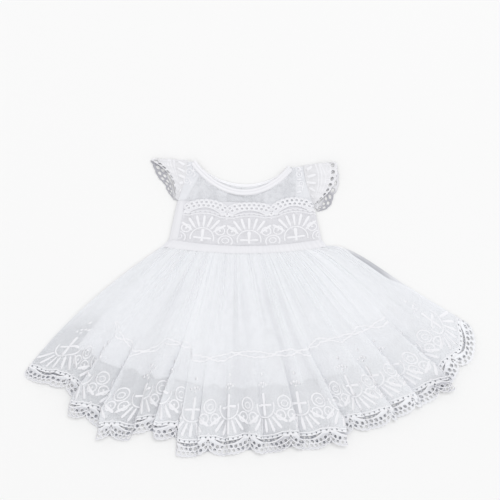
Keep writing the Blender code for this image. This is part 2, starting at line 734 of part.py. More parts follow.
# ---------------------------------------------------------------- the gown
def build():
    gown = start_scene()
    tulle = cloth_material("tulle", (0.86, 0.87, 0.89), 0.75, 0.2)
    satin = cloth_material("satin", (0.90, 0.91, 0.93), 0.38, 0.1)
    lace = cloth_material("lace", (0.88, 0.88, 0.90), 0.80, 0.2)

    add_piece(gown, "skirt_front", make_skirt_front(), tulle)
    add_piece(gown, "skirt_back", make_skirt_back(), tulle)

    lining_end = TIER_SEAM - TIER_SEAM_GAP / 2
    front_lining = make_underskirt(32, 6, 0.0, lining_end, FRONT_LINING_FLOOR, lining_wave)
    add_piece(gown, "underskirt_front", front_lining, satin)
    tier_start = TIER_SEAM + TIER_SEAM_GAP / 2
    tier = make_underskirt(80, 2, tier_start, TIER_HEM, FRONT_LINING_FLOOR, tier_wave)
    add_piece(gown, "underskirt_tier_front", tier, satin)
    back_lining = make_underskirt(24, 3, 0.0, TIER_HEM, BACK_LINING_FLOOR, no_wave)
    add_piece(gown, "underskirt_back", back_lining, satin)
    add_piece(gown, "tier_braid_front", make_braid(), lace)

    band = np.concatenate([waist_line(SEAM_GAP), waist_line(BAND_HEIGHT)[::-1]])
    add_piece(gown, "waistband_front", flat_panel(band, BODICE_FLOOR, BODICE_FLOOR + WALL), satin)
    add_piece(gown, "waistband_back", flat_panel(band, 0.0, WALL), satin)

    body = body_outline()
    add_piece(gown, "bodice_front", flat_panel(body, BODICE_FLOOR, BODICE_FLOOR + WALL), satin)
    front_yoke = yoke_outline(NECK_DEPTH_FRONT, BINDING_WIDTH_FRONT)
    add_piece(gown, "yoke_front", flat_panel(front_yoke, BODICE_FLOOR, BODICE_FLOOR + WALL), tulle)
    front_lace = flat_panel(bodice_lace_outline(), *LACE_OVER_BODICE, openings=bodice_slits())
    add_piece(gown, "bodice_lace_front", front_lace, lace)

    back_yoke = yoke_outline(NECK_DEPTH_BACK, BINDING_WIDTH_BACK)
    for side, word in ((-1, "left"), (1, "right")):
        limit = CENTRE_BACK_X + side * CENTRE_BACK_GAP / 2
        body_half = clip_at_x(body, limit, side)
        yoke_half = clip_at_x(back_yoke, limit, side)
        add_piece(gown, "bodice_back_" + word, flat_panel(body_half, 0.0, WALL), satin)
        add_piece(gown, "yoke_back_" + word, flat_panel(yoke_half, 0.0, WALL), tulle)

    front_binding = bound_edge(neck_line(NECK_DEPTH_FRONT), BINDING_WIDTH_FRONT, *BINDING_FRONT)
    back_binding = bound_edge(neck_line(NECK_DEPTH_BACK), BINDING_WIDTH_BACK, *BINDING_BACK)
    add_piece(gown, "neck_binding_front", front_binding, satin)
    add_piece(gown, "neck_binding_back", back_binding, satin)

    add_piece(gown, "sleeve_left", make_sleeve(SLEEVE_LEFT), lace)
    add_piece(gown, "sleeve_right", make_sleeve(SLEEVE_RIGHT), lace)


build()
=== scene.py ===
"""Looks of the christening gown: tulle and border lace over a satin underskirt.

Metres, +Z up, in the row's frame. A piece of cloth starts as a flat grid in the
measures of its cut: x along the cloth and y up from its lower edge. Its holes are
taken out there, and then every point is laid where the gown lies. Embroidery is
drawn as lines on the same cut and laid by the same function, so it follows the folds.

On a skirt panel, across runs from 0 at its left side to 1 at its right side, and
down from 0 at the waist to 1 at the hem. On other panels, s runs across and t up.
"""
import math
from collections import namedtuple

import bmesh
import bpy
import numpy as np
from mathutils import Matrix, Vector

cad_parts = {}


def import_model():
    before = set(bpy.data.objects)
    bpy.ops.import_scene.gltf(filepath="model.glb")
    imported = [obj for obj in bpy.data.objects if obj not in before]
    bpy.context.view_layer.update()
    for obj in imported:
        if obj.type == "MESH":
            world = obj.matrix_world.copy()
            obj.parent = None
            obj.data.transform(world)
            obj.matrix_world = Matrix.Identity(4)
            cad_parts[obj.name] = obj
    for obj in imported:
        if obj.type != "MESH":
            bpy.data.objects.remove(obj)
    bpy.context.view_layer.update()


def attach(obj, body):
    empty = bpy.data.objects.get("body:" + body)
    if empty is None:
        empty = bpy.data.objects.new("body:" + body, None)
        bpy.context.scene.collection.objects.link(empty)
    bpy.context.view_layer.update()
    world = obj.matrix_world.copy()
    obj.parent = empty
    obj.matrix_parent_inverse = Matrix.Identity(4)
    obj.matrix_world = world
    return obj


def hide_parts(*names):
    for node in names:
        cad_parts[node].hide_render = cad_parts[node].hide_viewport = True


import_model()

# ---------------------------------------------------------------- sizes of the gown
WAIST_LEFT_X = -0.138
WAIST_RIGHT_X = 0.124
WAIST_Y = 0.100
WAIST_DIP = 0.011
BAND_HEIGHT = 0.010
BODICE_LEFT_X = -0.128
BODICE_RIGHT_X = 0.116
HEM_MIDDLE_Y = -0.042
HEM_DROP = 0.1955
HEM_REACH_LEFT = 0.392
HEM_REACH_RIGHT = 0.364
HEM_TURN_LEFT = math.radians(-69)
HEM_TURN_RIGHT = math.radians(93)
SIDE_BOW_LEFT = np.array((-0.036, 0.0045))
SIDE_BOW_RIGHT = np.array((-0.0135, 0.0150))
SIDE_BOW_POWER = 1.5
HIP_RIGHT = np.array((0.002, 0.011))
HIP_CURVE = 12.2
BACK_HEM_SHORT = 0.006

# Folds of the outer skirt: crest's place along the laid-out hem, its height, how far
# down the skirt it starts, and how far the hem is drawn up there.
Fold = namedtuple("Fold", "along height start drawn_up")
FOLDS = [Fold(*sizes) for sizes in (
    (0.050, 0.0045, 0.45, 0.037),
    (0.109, 0.0090, 0.35, 0.011),
    (0.164, 0.0100, 0.30, -0.009),
    (0.214, 0.0045, 0.45, 0.018),
    (0.260, 0.0115, 0.30, 0.021),
    (0.286, 0.0040, 0.45, -0.006),
    (0.322, 0.0050, 0.40, -0.001),
    (0.370, 0.0060, 0.30, 0.006),
    (0.414, 0.0090, 0.35, 0.006),
    (0.472, 0.0080, 0.25, 0.008),
    (0.546, 0.0110, 0.30, 0.004),
    (0.592, 0.0050, 0.45, 0.016),
    (0.638, 0.0085, 0.40, 0.011),
    (0.680, 0.0102, 0.25, 0.014),
    (0.744, 0.0090, 0.30, 0.005),
    (0.798, 0.0040, 0.45, 0.005))]
FOLD_GENTLE_SHARE = 0.68
FOLD_FULL = 0.97
FOLD_LEAN = 3.7
FOLD_REST_SHARE = 0.42
LEAN_MIDDLE = 0.465
LEAN_SPREAD = 0.10
LEAN_EDGE = 0.07
LEAN_LOST_AT_HEM = 0.55
HEM_STEP = 0.8
# Ranges down the skirt: where each starts, and how far it takes.
FOLD_REACH_RANGE = (0.3, 0.65)
LEAN_RANGE = (0.15, 0.55)
UPRIGHT_RANGE = (0.86, 0.14)
CREASE_RANGE = (0.0, 0.3)
CREASE_LOST_RANGE = (0.5, 0.4)
LINING_WAVE_RANGE = (0.1, 0.6)
OVER_BRAID_RANGE = (0.25, 0.2)
PAST_LINING_RANGE = (0.03, 0.30)

# Gathers under the waistband, and soft creases that run on towards the hem. The drifts
# are waves across the panel, their phase, and their size in gathers or creases. A range that
# also ends has its end and the length of its fall as its last two numbers.
GATHERS = 58
GATHER_HEIGHT = 0.0011
GATHER_END = 0.60
GATHER_END_VARIES = (11, 1.0, 0.35)
GATHER_DRIFTS = ((7, 0.6, 0.45), (17, 2.1, 0.30))
CREASES = 27
CREASE_HEIGHT = 0.0008
CREASE_LOST_AT_HEM = 0.6
CREASE_DRIFT = (5, 0.0, 0.3)
BROAD_WAVES = 9
BROAD_HEIGHT = 0.0016
BROAD_DRIFT = (4, 0.0, 0.25)
BROAD_RANGE = (0.0, 0.25, 0.85, 0.4)
BAND_HOLDS = 0.03

# Heights of the stacked layers.
SIDE_FLOOR_Z = 0.0022
BACK_PANEL_Z = 0.0003
BACK_LINING_Z = 0.0020
FRONT_LINING_Z = 0.0034
OVER_LINING = 0.0014
OVER_BRAID = 0.0010
SETTLED_SHARE = 0.75
LINING_WAVES = 6
LINING_WAVE_HEIGHT = 0.0014
LINING_LEFT = 0.055
LINING_RIGHT = 0.935
TIER_SEAM = 0.525
TIER_HEM = 0.655
TIER_GATHERS = 44
TIER_GATHER_HEIGHT = 0.0009

# Border lace, in the measures of its cut.
REPEATS = 15
REPEAT = 0.0798
EYELETS = 9
EYELET_COLUMNS = 6
REPEAT_COLUMNS = EYELETS * EYELET_COLUMNS
SCALLOP_DEPTH = 0.0145
SCALLOP_POWERS = (2.2, 0.62)
PICOT = 0.0014
LACE_TOP = 0.150
PANEL_LENGTH = 0.325
HEM_CUT = REPEATS * REPEAT
SIDE_TURNED = 0.018
SIDE_TURNED_RANGE = (0.10, 0.12, 0.60, 0.2)
SIDE_TURNED_ACROSS = (0.90, 0.10)
SIDE_SEAM_DROP = 0.0011
SIDE_SEAM_WIDTH = 0.010
MEASURED_DOWN = 0.93
SLIT_LOW = 0.0160
SLIT_HALF_SHARE = 0.35
SLIT_BEND = 0.0105
SLIT_OPENING = 0.0052
SLIT_END_OPENING = 0.0006
SLIT_OVER_EDGE = 0.0154
SLIT_END_HEIGHT = 0.0009


# ---------------------------------------------------------------- small sums
def ease(share):
    share = np.clip(share, 0.0, 1.0)
    return share * share * (3.0 - 2.0 * share)


def past(value, start, rise):
    """Rises from 0 at start to 1."""
    return ease((value - start) / rise)


def before(value, end, fall):
    """Falls from 1 to 0 at end."""
    return ease((end - value) / fall)


def within(value, start, rise, end, fall):
    return past(value, start, rise) * before(value, end, fall)


def swell(turns):
    """Even waves between 0 and 1."""
    return 0.5 - 0.5 * np.cos(2 * np.pi * turns)


def sway(turns, phase=0.0):
    """Even waves between -1 and 1."""
    return np.sin(2 * np.pi * turns + phase)


def drift(turns, waves, phase, size):
    return size * sway(waves * turns, phase)


def hump(share):
    return swell(np.clip(share, 0.0, 1.0) / 2)


def spot(distance):
    """1 at no distance, and soft on both sides."""
    return np.exp(-distance ** 2)


def mix(start, end, share):
    return start + (end - start) * share


def bend(start, middle, end, share):
    """Points along a quadratic curve, pulled towards its middle point."""
    share = np.asarray(share)[..., None]
    start, middle, end = (np.array(point, float) for point in (start, middle, end))
    return (1 - share) ** 2 * start + 2 * share * (1 - share) * middle + share ** 2 * end


def at(*measures):
    """Places or points from their x, y and z."""
    return np.stack(measures, -1)


def raised(flat, height):
    """Flat places as points at a height."""
    return np.concatenate([flat, height[..., None]], -1)


# ---------------------------------------------------------------- how the skirt lies
def hem_at_turn(turn):
    reach = np.where(turn < 0.0, HEM_REACH_LEFT, HEM_REACH_RIGHT)
    return at(reach * np.sin(turn), HEM_MIDDLE_Y - HEM_DROP * np.cos(turn))


def run_along(line):
    """How far along a line each of its points lies."""
    return np.concatenate([[0.0], np.cumsum(np.linalg.norm(np.diff(line, axis=0), axis=1))])


HEM_TURNS = np.linspace(HEM_TURN_LEFT, HEM_TURN_RIGHT, 801)
HEM_RUN = run_along(hem_at_turn(HEM_TURNS))
HEM_LENGTH = HEM_RUN[-1]


def hem_point(across):
    return hem_at_turn(np.interp(across * HEM_LENGTH, HEM_RUN, HEM_TURNS))


def waist_line(across, raise_by=0.0):
    """The waist's dipping line, or one raised from it on the way to the bodice."""
    share = raise_by / BAND_HEIGHT
    x = mix(mix(WAIST_LEFT_X, BODICE_LEFT_X, share), mix(WAIST_RIGHT_X, BODICE_RIGHT_X, share), across)
    y = WAIST_Y - WAIST_DIP * 4.0 * across * (1.0 - across) + raise_by
    return at(x, y)


def fan(across, down):
    """Where a point of the flat panel falls."""
    waist = waist_line(across)
    hem = hem_point(across)
    left = np.maximum(0.0, 1.0 - 2.0 * across)[..., None] ** SIDE_BOW_POWER
    right = np.maximum(0.0, 2.0 * across - 1.0)[..., None] ** SIDE_BOW_POWER
    middle = 0.5 * (waist + hem) + left * SIDE_BOW_LEFT + right * SIDE_BOW_RIGHT
    share = down[..., None]
    hip = HIP_CURVE * share * (1 - share) ** 4 * right * HIP_RIGHT
    return (1 - share) ** 2 * waist + 2 * share * (1 - share) * middle + share ** 2 * hem + hip


def drop_length(across):
    return np.linalg.norm(hem_point(across) - waist_line(across), axis=-1)


def step_along_x(across, down, tiny=0.002):
    """How far across and down the panel one metre along X goes."""
    low = np.clip(across - tiny, 0.0, 1.0)
    high = np.clip(across + tiny, 0.0, 1.0)
    along_across = (fan(high, down) - fan(low, down)) / (high - low)[..., None]
    along_down = (fan(across, down + tiny) - fan(across, down - tiny)) / (2 * tiny)
    area = along_across[..., 0] * along_down[..., 1] - along_across[..., 1] * along_down[..., 0]
    return along_down[..., 1] / area, -along_across[..., 1] / area


def fold_feet():
    """Troughs between the crests: the steep side of each fold faces away from the middle."""
    crests = [fold.along / HEM_LENGTH for fold in FOLDS]
    feet = [0.0]
    for first, second in zip(crests, crests[1:]):
        if second < LEAN_MIDDLE:
            share = FOLD_GENTLE_SHARE
        elif first > LEAN_MIDDLE:
            share = 1.0 - FOLD_GENTLE_SHARE
        else:
            share = 0.5
        feet.append(mix(first, second, share))
    return crests, feet + [1.0]


CRESTS, FEET = fold_feet()


def hem_steps():
    """Places across the hem and how far it is drawn up there: it steps on the steep sides."""
    places, rises = [0.0], [0.0]
    for number, fold in enumerate(FOLDS[:-1]):
        crest, following = CRESTS[number], CRESTS[number + 1]
        share = (FEET[number + 1] - crest) / (following - crest)
        step = 0.5 + HEM_STEP * (0.5 - share)
        places += [crest, FEET[number + 1]]
        rises += [fold.drawn_up, mix(fold.drawn_up, FOLDS[number + 1].drawn_up, step)]
    return places + [CRESTS[-1], 1.0], rises + [FOLDS[-1].drawn_up, 0.0]


HEM_PLACES, HEM_RISES = hem_steps()


def fold_lift(across, down):
    lift = np.zeros_like(across)
    for number, fold in enumerate(FOLDS):
        crest = CRESTS[number]
        rise = (across - FEET[number]) / (crest - FEET[number])
        fall = (FEET[number + 1] - across) / (FEET[number + 1] - crest)
        grown = ease((down - fold.start) / (FOLD_FULL - fold.start))
        lift += fold.height * grown * hump(np.minimum(rise, fall))
    return lift


def fold_reach(across, down):
    heights = [fold.height for fold in FOLDS]
    return np.interp(across, CRESTS, heights) * past(down, *FOLD_REACH_RANGE)


def gather_lift(cloth, down):
    """Gathers, each with its own width and length, and the creases that follow them."""
    turns = GATHERS * cloth + sum(drift(cloth, *sizes) for sizes in GATHER_DRIFTS)
    end = GATHER_END * (1.0 + drift(cloth, *GATHER_END_VARIES))
    gathers = GATHER_HEIGHT * (1.0 - ease(down / end)) * (1.0 - swell(turns))
    slow = 0.5 + 0.5 * sway(CREASES * cloth + drift(cloth, *CREASE_DRIFT))
    lost = 1.0 - CREASE_LOST_AT_HEM * past(down, *CREASE_LOST_RANGE)
    creases = CREASE_HEIGHT * slow * past(down, *CREASE_RANGE) * lost
    broad = 0.5 + 0.5 * sway(BROAD_WAVES * cloth + drift(cloth, *BROAD_DRIFT))
    return (gathers + creases) * ease(down / BAND_HOLDS) + BROAD_HEIGHT * broad * within(down, *BROAD_RANGE)


def lean(across, down):
    side = np.tanh((across - LEAN_MIDDLE) / LEAN_SPREAD)
    edge = ease(np.minimum(across, 1.0 - across) / LEAN_EDGE)
    upright = 1.0 - LEAN_LOST_AT_HEM * past(down, *UPRIGHT_RANGE)
    return FOLD_LEAN * side * edge * upright * past(down, *LEAN_RANGE)


def over_lining(across):
    return ease(np.minimum(across / LINING_LEFT, (1.0 - across) / (1.0 - LINING_RIGHT)))


def front_lining_height(across, down):
    waves = swell(LINING_WAVES * across) * over_lining(across)
    return FRONT_LINING_Z + LINING_WAVE_HEIGHT * past(down, *LINING_WAVE_RANGE) * waves


def side_seam(share, width):
    """1 on the side seams, where the front comes down to the back, and 0 away from them."""
    return 1.0 - ease(np.minimum(share, 1.0 - share) / width)


def tulle_floor(across, down):
    """Lowest height that the front of the outer skirt may have."""
    over_braid = front_lining_height(across, down) + OVER_LINING + OVER_BRAID * past(down, *OVER_BRAID_RANGE)
    settled = SETTLED_SHARE * past(down - TIER_HEM, *PAST_LINING_RANGE)
    floor_z = mix(SIDE_FLOOR_Z, mix(over_braid, SIDE_FLOOR_Z, settled), over_lining(across))
    return floor_z - SIDE_SEAM_DROP * side_seam(across, SIDE_SEAM_WIDTH)


def skirt_point(across, down, lift):
    """A point of the folded outer skirt, lift being its height over the skirt's own floor."""
    shift = lean(across, down) * (lift - FOLD_REST_SHARE * fold_reach(across, down))
    across_step, down_step = step_along_x(across, down)
    across = np.clip(across + shift * across_step, 0.0, 1.0)
    down = down + shift * down_step
    return raised(fan(across, down), tulle_floor(across, down) + lift)


def cloth_shares():
    """Places across the fan for equal lengths of cloth, measured along the folded border."""
    across = np.linspace(0.0, 1.0, 1601)
    down = np.full_like(across, MEASURED_DOWN)
    run = run_along(skirt_point(across, down, fold_lift(across, down)))
    return across, run / run[-1]


CLOTH_ACROSS, CLOTH_RUN = cloth_shares()


def cloth_across(x):
    """Place across the fan of a place along the front's cut."""
    return np.interp(x / HEM_CUT, CLOTH_RUN, CLOTH_ACROSS)


def panel_down(across, above_hem, hem_short):
    """Share of the drop for a height above the hem; past the lace it closes on the waist."""
    drawn_up = np.interp(across, HEM_PLACES, HEM_RISES)
    lace_down = 1.0 - (np.minimum(above_hem, LACE_TOP) + drawn_up + hem_short) / drop_length(across)
    return lace_down * (1.0 - np.clip((above_hem - LACE_TOP) / (PANEL_LENGTH - LACE_TOP), 0.0, 1.0))


def lay_skirt_front(x, y, height):
    across = cloth_across(x)
    down = panel_down(across, y, 0.0)
    across = across - SIDE_TURNED * past(across, *SIDE_TURNED_ACROSS) * within(down, *SIDE_TURNED_RANGE)
    gathers = gather_lift(np.clip(x / HEM_CUT, 0.0, 1.0), down)
    return skirt_point(across, down, fold_lift(across, down) + gathers + height)


# ---------------------------------------------------------------- cloth from a flat grid
def put(items, key, values, kind=np.float32):
    items.foreach_set(key, np.ascontiguousarray(values, dtype=kind).ravel())


def add_object(name, data):
    made = bpy.data.objects.new(name, data)
    bpy.context.scene.collection.objects.link(made)
    return made


def keep_mesh(work, mesh):
    work.to_mesh(mesh)
    work.free()
    return mesh


def show(name, mesh, material):
    mesh.shade_smooth()
    mesh.update()
    mesh.materials.clear()
    mesh.materials.append(material)
    piece = add_object(name, mesh)
    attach(piece, "root")
    return piece


def flat_grid(columns, rows, gone=lambda column, row: False):
    """A grid of cells; gone says which of them are holes."""
    work = bmesh.new()
    bmesh.ops.create_grid(work, x_segments=columns, y_segments=rows, size=0.5)
    holes = []
    for face in work.faces:
        centre = face.calc_center_median()
        if gone(int((centre.x + 0.5) * columns), int((centre.y + 0.5) * rows)):
            holes.append(face)
    bmesh.ops.delete(work, geom=holes, context="FACES")
    grid = np.array([vert.co for vert in work.verts])
    column = np.rint((grid[:, 0] + 0.5) * columns).astype(int)
    row = np.rint((grid[:, 1] + 0.5) * rows).astype(int)
    return work, column, row


def cloth_piece(name, work, points, cut, material, **shares):
    """The laid grid as an object; its UV map keeps its cut measures, its attributes the shares."""
    mesh = keep_mesh(work, bpy.data.meshes.new(name))
    put(mesh.vertices, "co", points)
    corners = np.zeros(len(mesh.loops), dtype=np.int32)
    mesh.loops.foreach_get("vertex_index", corners)
    put(mesh.uv_layers.new(name="cut").data, "uv", cut[corners])
    for word, share in shares.items():
        put(mesh.attributes.new(word, "FLOAT", "POINT").data, "value", share)
    return show(name, mesh, material)


def panel(name, columns, rows, place, material, **shares):
    """A plain piece of cloth; place lays shares across and up it, and gives its cut measures."""
    work, column, row = flat_grid(columns, rows)
    points, cut = place(column / columns, row / rows)
    shares = {word: share(points) for word, share in shares.items()}
    return cloth_piece(name, work, points, cut, material, **shares)


def dress(nodes):
    """Hides the parts of the model that a piece of cloth stands for."""
    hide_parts(*nodes)


# ---------------------------------------------------------------- embroidery
Thread = namedtuple("Thread", "line width closed")
THREAD_PRESSED = 0.26
THREAD_REST = 0.0001


def thread_along(x, y, width):
    return Thread(at(x, y), width, False)


def threads_piece(name, threads, lay, material, press=THREAD_PRESSED, rest=THREAD_REST):
    """Round threads along flat lines, pressed flat, laid on the cloth and open underneath."""
    curve = bpy.data.curves.new(name, "CURVE")
    curve.dimensions = "3D"
    curve.bevel_depth = 1.0
    curve.bevel_resolution = 0
    for thread in threads:
        count = len(thread.line)
        spline = curve.splines.new("POLY")
        spline.points.add(count - 1)
        put(spline.points, "co", np.hstack([thread.line, np.zeros((count, 1)), np.ones((count, 1))]))
        put(spline.points, "radius", np.broadcast_to(np.float32(thread.width) / 2, count))
        spline.use_cyclic_u = thread.closed
    shape = add_object(name, curve)
    bpy.context.view_layer.update()
    mesh = bpy.data.meshes.new_from_object(shape.evaluated_get(bpy.context.evaluated_depsgraph_get()))
    bpy.data.objects.remove(shape, do_unlink=True)
    work = bmesh.new()
    work.from_mesh(mesh)
    bmesh.ops.delete(work, geom=[face for face in work.faces if face.normal.z < 0.0], context="FACES")
    keep_mesh(work, mesh)
    drawn = np.zeros(len(mesh.vertices) * 3, dtype=np.float32)
    mesh.vertices.foreach_get("co", drawn)
    drawn = drawn.reshape(-1, 3).astype(float)
    put(mesh.vertices, "co", lay(drawn[:, 0], drawn[:, 1], rest + press * drawn[:, 2]))
    piece = show(name, mesh, material)
    return piece


# ---------------------------------------------------------------- border lace
def in_scallop(x):
    """Place in the scallop: -1 and 1 at its notches, 0 at its middle."""
    return 2.0 * np.mod(x / REPEAT, 1.0) - 1.0


def scallop_rise(x):
    """Height of the scalloped edge: flat in the middle, steep beside the notches."""
    out, back = SCALLOP_POWERS
    return SCALLOP_DEPTH * (1.0 - (1.0 - np.abs(in_scallop(x)) ** out) ** back)


def hem_edge(x):
    return scallop_rise(x) - PICOT * np.abs(np.sin(np.pi * EYELETS * x / REPEAT))


def slit_share(x):
    return np.minimum(1.0, np.abs(in_scallop(x)) / (2 * SLIT_HALF_SHARE))


def slit_low(x):
    return np.maximum(SLIT_LOW + SLIT_BEND * slit_share(x) ** 2, scallop_rise(x) + SLIT_OVER_EDGE)


def slit_high(x):
    share = slit_share(x) ** 2
    curve = SLIT_LOW + SLIT_BEND * share + mix(SLIT_OPENING, SLIT_END_OPENING, share)
    return np.maximum(curve, scallop_rise(x) + SLIT_OVER_EDGE + SLIT_END_HEIGHT)


# Rows of the lace cloth, counted up from its edge, and their heights over the scallop's
# curve, or over the slit.
EYELET_ROW_LOW = 2
EYELET_ROW_HIGH = 6
SLIT_ROW = 8
PINHOLE_ROW = 11
EYELET_LOW = 0.0051
EYELET_HIGH = 0.0118
EYELET_HALF = 0.0031
EYELET_MIDDLE = 0.5 * (EYELET_LOW + EYELET_HIGH)
PINHOLE_HEIGHTS = (0.0014, 0.0027, 0.0040, 0.0056)
PLAIN_START = 0.040
PLAIN_ROWS = 14


def lace_rows(x, lace_top=LACE_TOP):
    curve = scallop_rise(x)
    top = slit_high(x)
    low, high = ([curve + middle + lift for lift in (-EYELET_HALF, 0.0, EYELET_HALF)]
                 for middle in (EYELET_LOW, EYELET_HIGH))
    pinholes = [top + lift for lift in PINHOLE_HEIGHTS]
    plain = [np.full_like(x, height) for height in np.linspace(PLAIN_START, lace_top, PLAIN_ROWS)]
    return [hem_edge(x), *low, curve + EYELET_MIDDLE, *high, slit_low(x), top, *pinholes, *plain]


LACE_ROW_COUNT = len(lace_rows(np.zeros(1)))

# Rows of round holes: row of their middles, column of the first one's middle, half the width in
# columns, and how far the corners are pulled in, in columns along the cloth and in metres up it.
HOLE_ROWS = (
    (EYELET_ROW_LOW, 3, 2, 0.42, 0.0006),
    (EYELET_ROW_HIGH, 0, 2, 0.42, 0.0006),
    (PINHOLE_ROW, 3, 1, 0.30, 0.0003))


def is_lace_hole(column, row):
    """Two rows of eyelets, the long slit over them, and a row of pinholes."""
    if row == SLIT_ROW:
        place = (column + 0.5) % REPEAT_COLUMNS / REPEAT_COLUMNS
        return abs(place - 0.5) < SLIT_HALF_SHARE
    return any(row in (middle - 1, middle) and (column - centre + half) % EYELET_COLUMNS < 2 * half
               for middle, centre, half, _, _ in HOLE_ROWS)


def round_holes(column, row, x, y):
    """Pulls the corners of each square hole in, so that it is round."""
    for middle, centre, half, pull_x, pull_y in HOLE_ROWS:
        corner = np.abs(row - middle) == 1
        first = corner & ((column + half - centre) % EYELET_COLUMNS == 0)
        last = corner & ((column - half - centre) % EYELET_COLUMNS == 0)
        x = x + pull_x * REPEAT / REPEAT_COLUMNS * (first.astype(float) - last.astype(float))
        y = y + pull_y * np.where(first | last, np.sign(middle - row), 0)
    return x, y


def no_share(x, y):
    return np.zeros_like(x)


def lace_cloth(name, repeats, upper_rows, lay, material,
               top=LACE_TOP, shade=no_share, thin=no_share, closed_to=0):
    """Net with the border lace along its lower edge; closed_to columns have holes at the edge only."""
    work, column, row = flat_grid(
        repeats * REPEAT_COLUMNS, LACE_ROW_COUNT - 1 + upper_rows,
        lambda place, up: is_lace_hole(place, up) and (place >= closed_to or up <= EYELET_ROW_LOW))
    x = column * REPEAT / REPEAT_COLUMNS
    heights = lace_rows(x, top)
    for number in range(1, upper_rows + 1):
        heights.append(np.full_like(x, mix(LACE_TOP, PANEL_LENGTH, number / upper_rows)))
    y = np.stack(heights)[row, np.arange(len(x))]
    x, y = round_holes(column, row, x, y)
    points = lay(x, y, np.zeros_like(x))
    stitched = np.clip((PINHOLE_ROW + 1.5 - row) / 1.5, 0.0, 1.0)
    return cloth_piece(name, work, points, at(x, y), material,
                       stitched=stitched, shade=shade(x, y), thin=thin(x, y))


def kept_thread(thread, keep):
    """The thread without the points that keep refuses; None if hardly any is left."""
    line = np.asarray(thread.line)
    kept = keep(line[:, 0], line[:, 1])
    if kept.all():
        return thread
    if kept.sum() < 3:
        return None
    width = np.broadcast_to(thread.width, len(line))
    first = int(np.argmin(kept)) if thread.closed else 0
    line, width, kept = (np.roll(values, -first, axis=0) for values in (line, width, kept))
    return Thread(line[kept], width[kept], False)


def kept_threads(threads, keep):
    threads = [kept_thread(thread, keep) for thread in threads]
    return [thread for thread in threads if thread is not None]


def ring(x, y, across, up, count, width):
    turn = np.linspace(0.0, 2 * np.pi, count, endpoint=False)
    return Thread(at(x + across * np.cos(turn), y + up * np.sin(turn)), width, True)


def satin_stitch(x, y, angle, length, start_width, end_width, count=8):
    """A raised bar of close stitches with round ends, growing from one width to the other."""
    share = 0.5 - 0.5 * np.cos(np.linspace(0.0, np.pi, count))
    ends = np.sqrt(np.clip(1.0 - (2.0 * share - 1.0) ** 6, 0.04, 1.0))
    return thread_along(x + length * share * np.cos(angle), y + length * share * np.sin(angle),
                        mix(start_width, end_width, share) * ends)


def dot(x, y, size):
    return satin_stitch(x, y - size / 2, math.pi / 2, size, size * 0.9, size * 0.9, 5)


EDGE_WIDTH = 0.0012
SLIT_WIDTH = 0.0016
SLIT_STITCH = 0.0007
PINHOLE_STITCH = 0.0058
EYELET_RING = (0.0037, 0.0034, 10)
EYELET_WIDTH = 0.0009
LINE_WIDTH = 0.0022
CROSS_Y = 0.0760
ARCH_RADIUS = 0.0200
ARCH_TURN = (-195, 15)
FAN_RAYS = 7
FAN_STEP = 18.0
RAY_GAP = 0.0022
RAY_LENGTH = 0.0225
RAY_LONGER_ASIDE = 0.004
RAY_WIDTHS = (0.0034, 0.0052)
# Bars of the cross: where they start from its middle, direction, length, and the two widths.
CROSS_BARS = (
    (0.0, -0.018, 90, 0.019, 0.0066, 0.0038),
    (0.0, 0.020, -90, 0.021, 0.0058, 0.0038),
    (-0.0155, 0.0, 0, 0.0155, 0.0048, 0.0030),
    (0.0155, 0.0, 180, 0.0155, 0.0048, 0.0030))
# Dots over the cross: place from its middle, and size.
CROSS_DOTS = (
    (-0.0085, 0.0330, 0.0042), (-0.0030, 0.0355, 0.0046), (0.0030, 0.0355, 0.0046),
    (0.0085, 0.0330, 0.0042), (0.0, 0.0290, 0.0040), (0.0, 0.0500, 0.0052))
# Rings over a notch: place from it and from the cross's height, reach along and up, points, width.
NOTCH_RINGS = (
    (0.0, 0.0035, 0.0118, 0.0112, 22, LINE_WIDTH),
    (0.0, 0.0020, 0.0058, 0.0050, 12, 0.8 * LINE_WIDTH),
    (-0.0102, -0.0165, 0.0080, 0.0080, 16, LINE_WIDTH),
    (0.0102, -0.0165, 0.0080, 0.0080, 16, LINE_WIDTH))
NOTCH_DOTS = ((-0.0102, -0.0165, 0.0040), (0.0102, -0.0165, 0.0040))


def border_threads(repeats, full=True, first=0, eyelet_width=EYELET_WIDTH):
    """The lace's drawing: edges that run on, and the figures of each repeat."""
    last = first + repeats
    run = np.linspace(first * REPEAT, last * REPEAT, repeats * EYELETS * 8 + 1)
    threads = [
        thread_along(run, hem_edge(run) + EDGE_WIDTH / 2, EDGE_WIDTH),
        thread_along(run, scallop_rise(run) + EYELET_MIDDLE, EDGE_WIDTH),
        thread_along(run, slit_low(run) - SLIT_STITCH, SLIT_WIDTH),
        thread_along(run, slit_high(run) + SLIT_STITCH, SLIT_WIDTH),
        thread_along(run, slit_high(run) + PINHOLE_STITCH, SLIT_WIDTH)]
    for number in range(first * EYELETS, last * EYELETS):
        for shift, height in ((0.5, EYELET_LOW), (0.0, EYELET_HIGH)):
            x = (number + shift) * REPEAT / EYELETS
            threads.append(ring(x, float(scallop_rise(x)) + height, *EYELET_RING, eyelet_width))
    if full:
        for number in range(first, last):
            threads += repeat_figures((number + 0.5) * REPEAT)
        for number in range(first + 1, last):
            threads += notch_figures(number * REPEAT)
    return threads


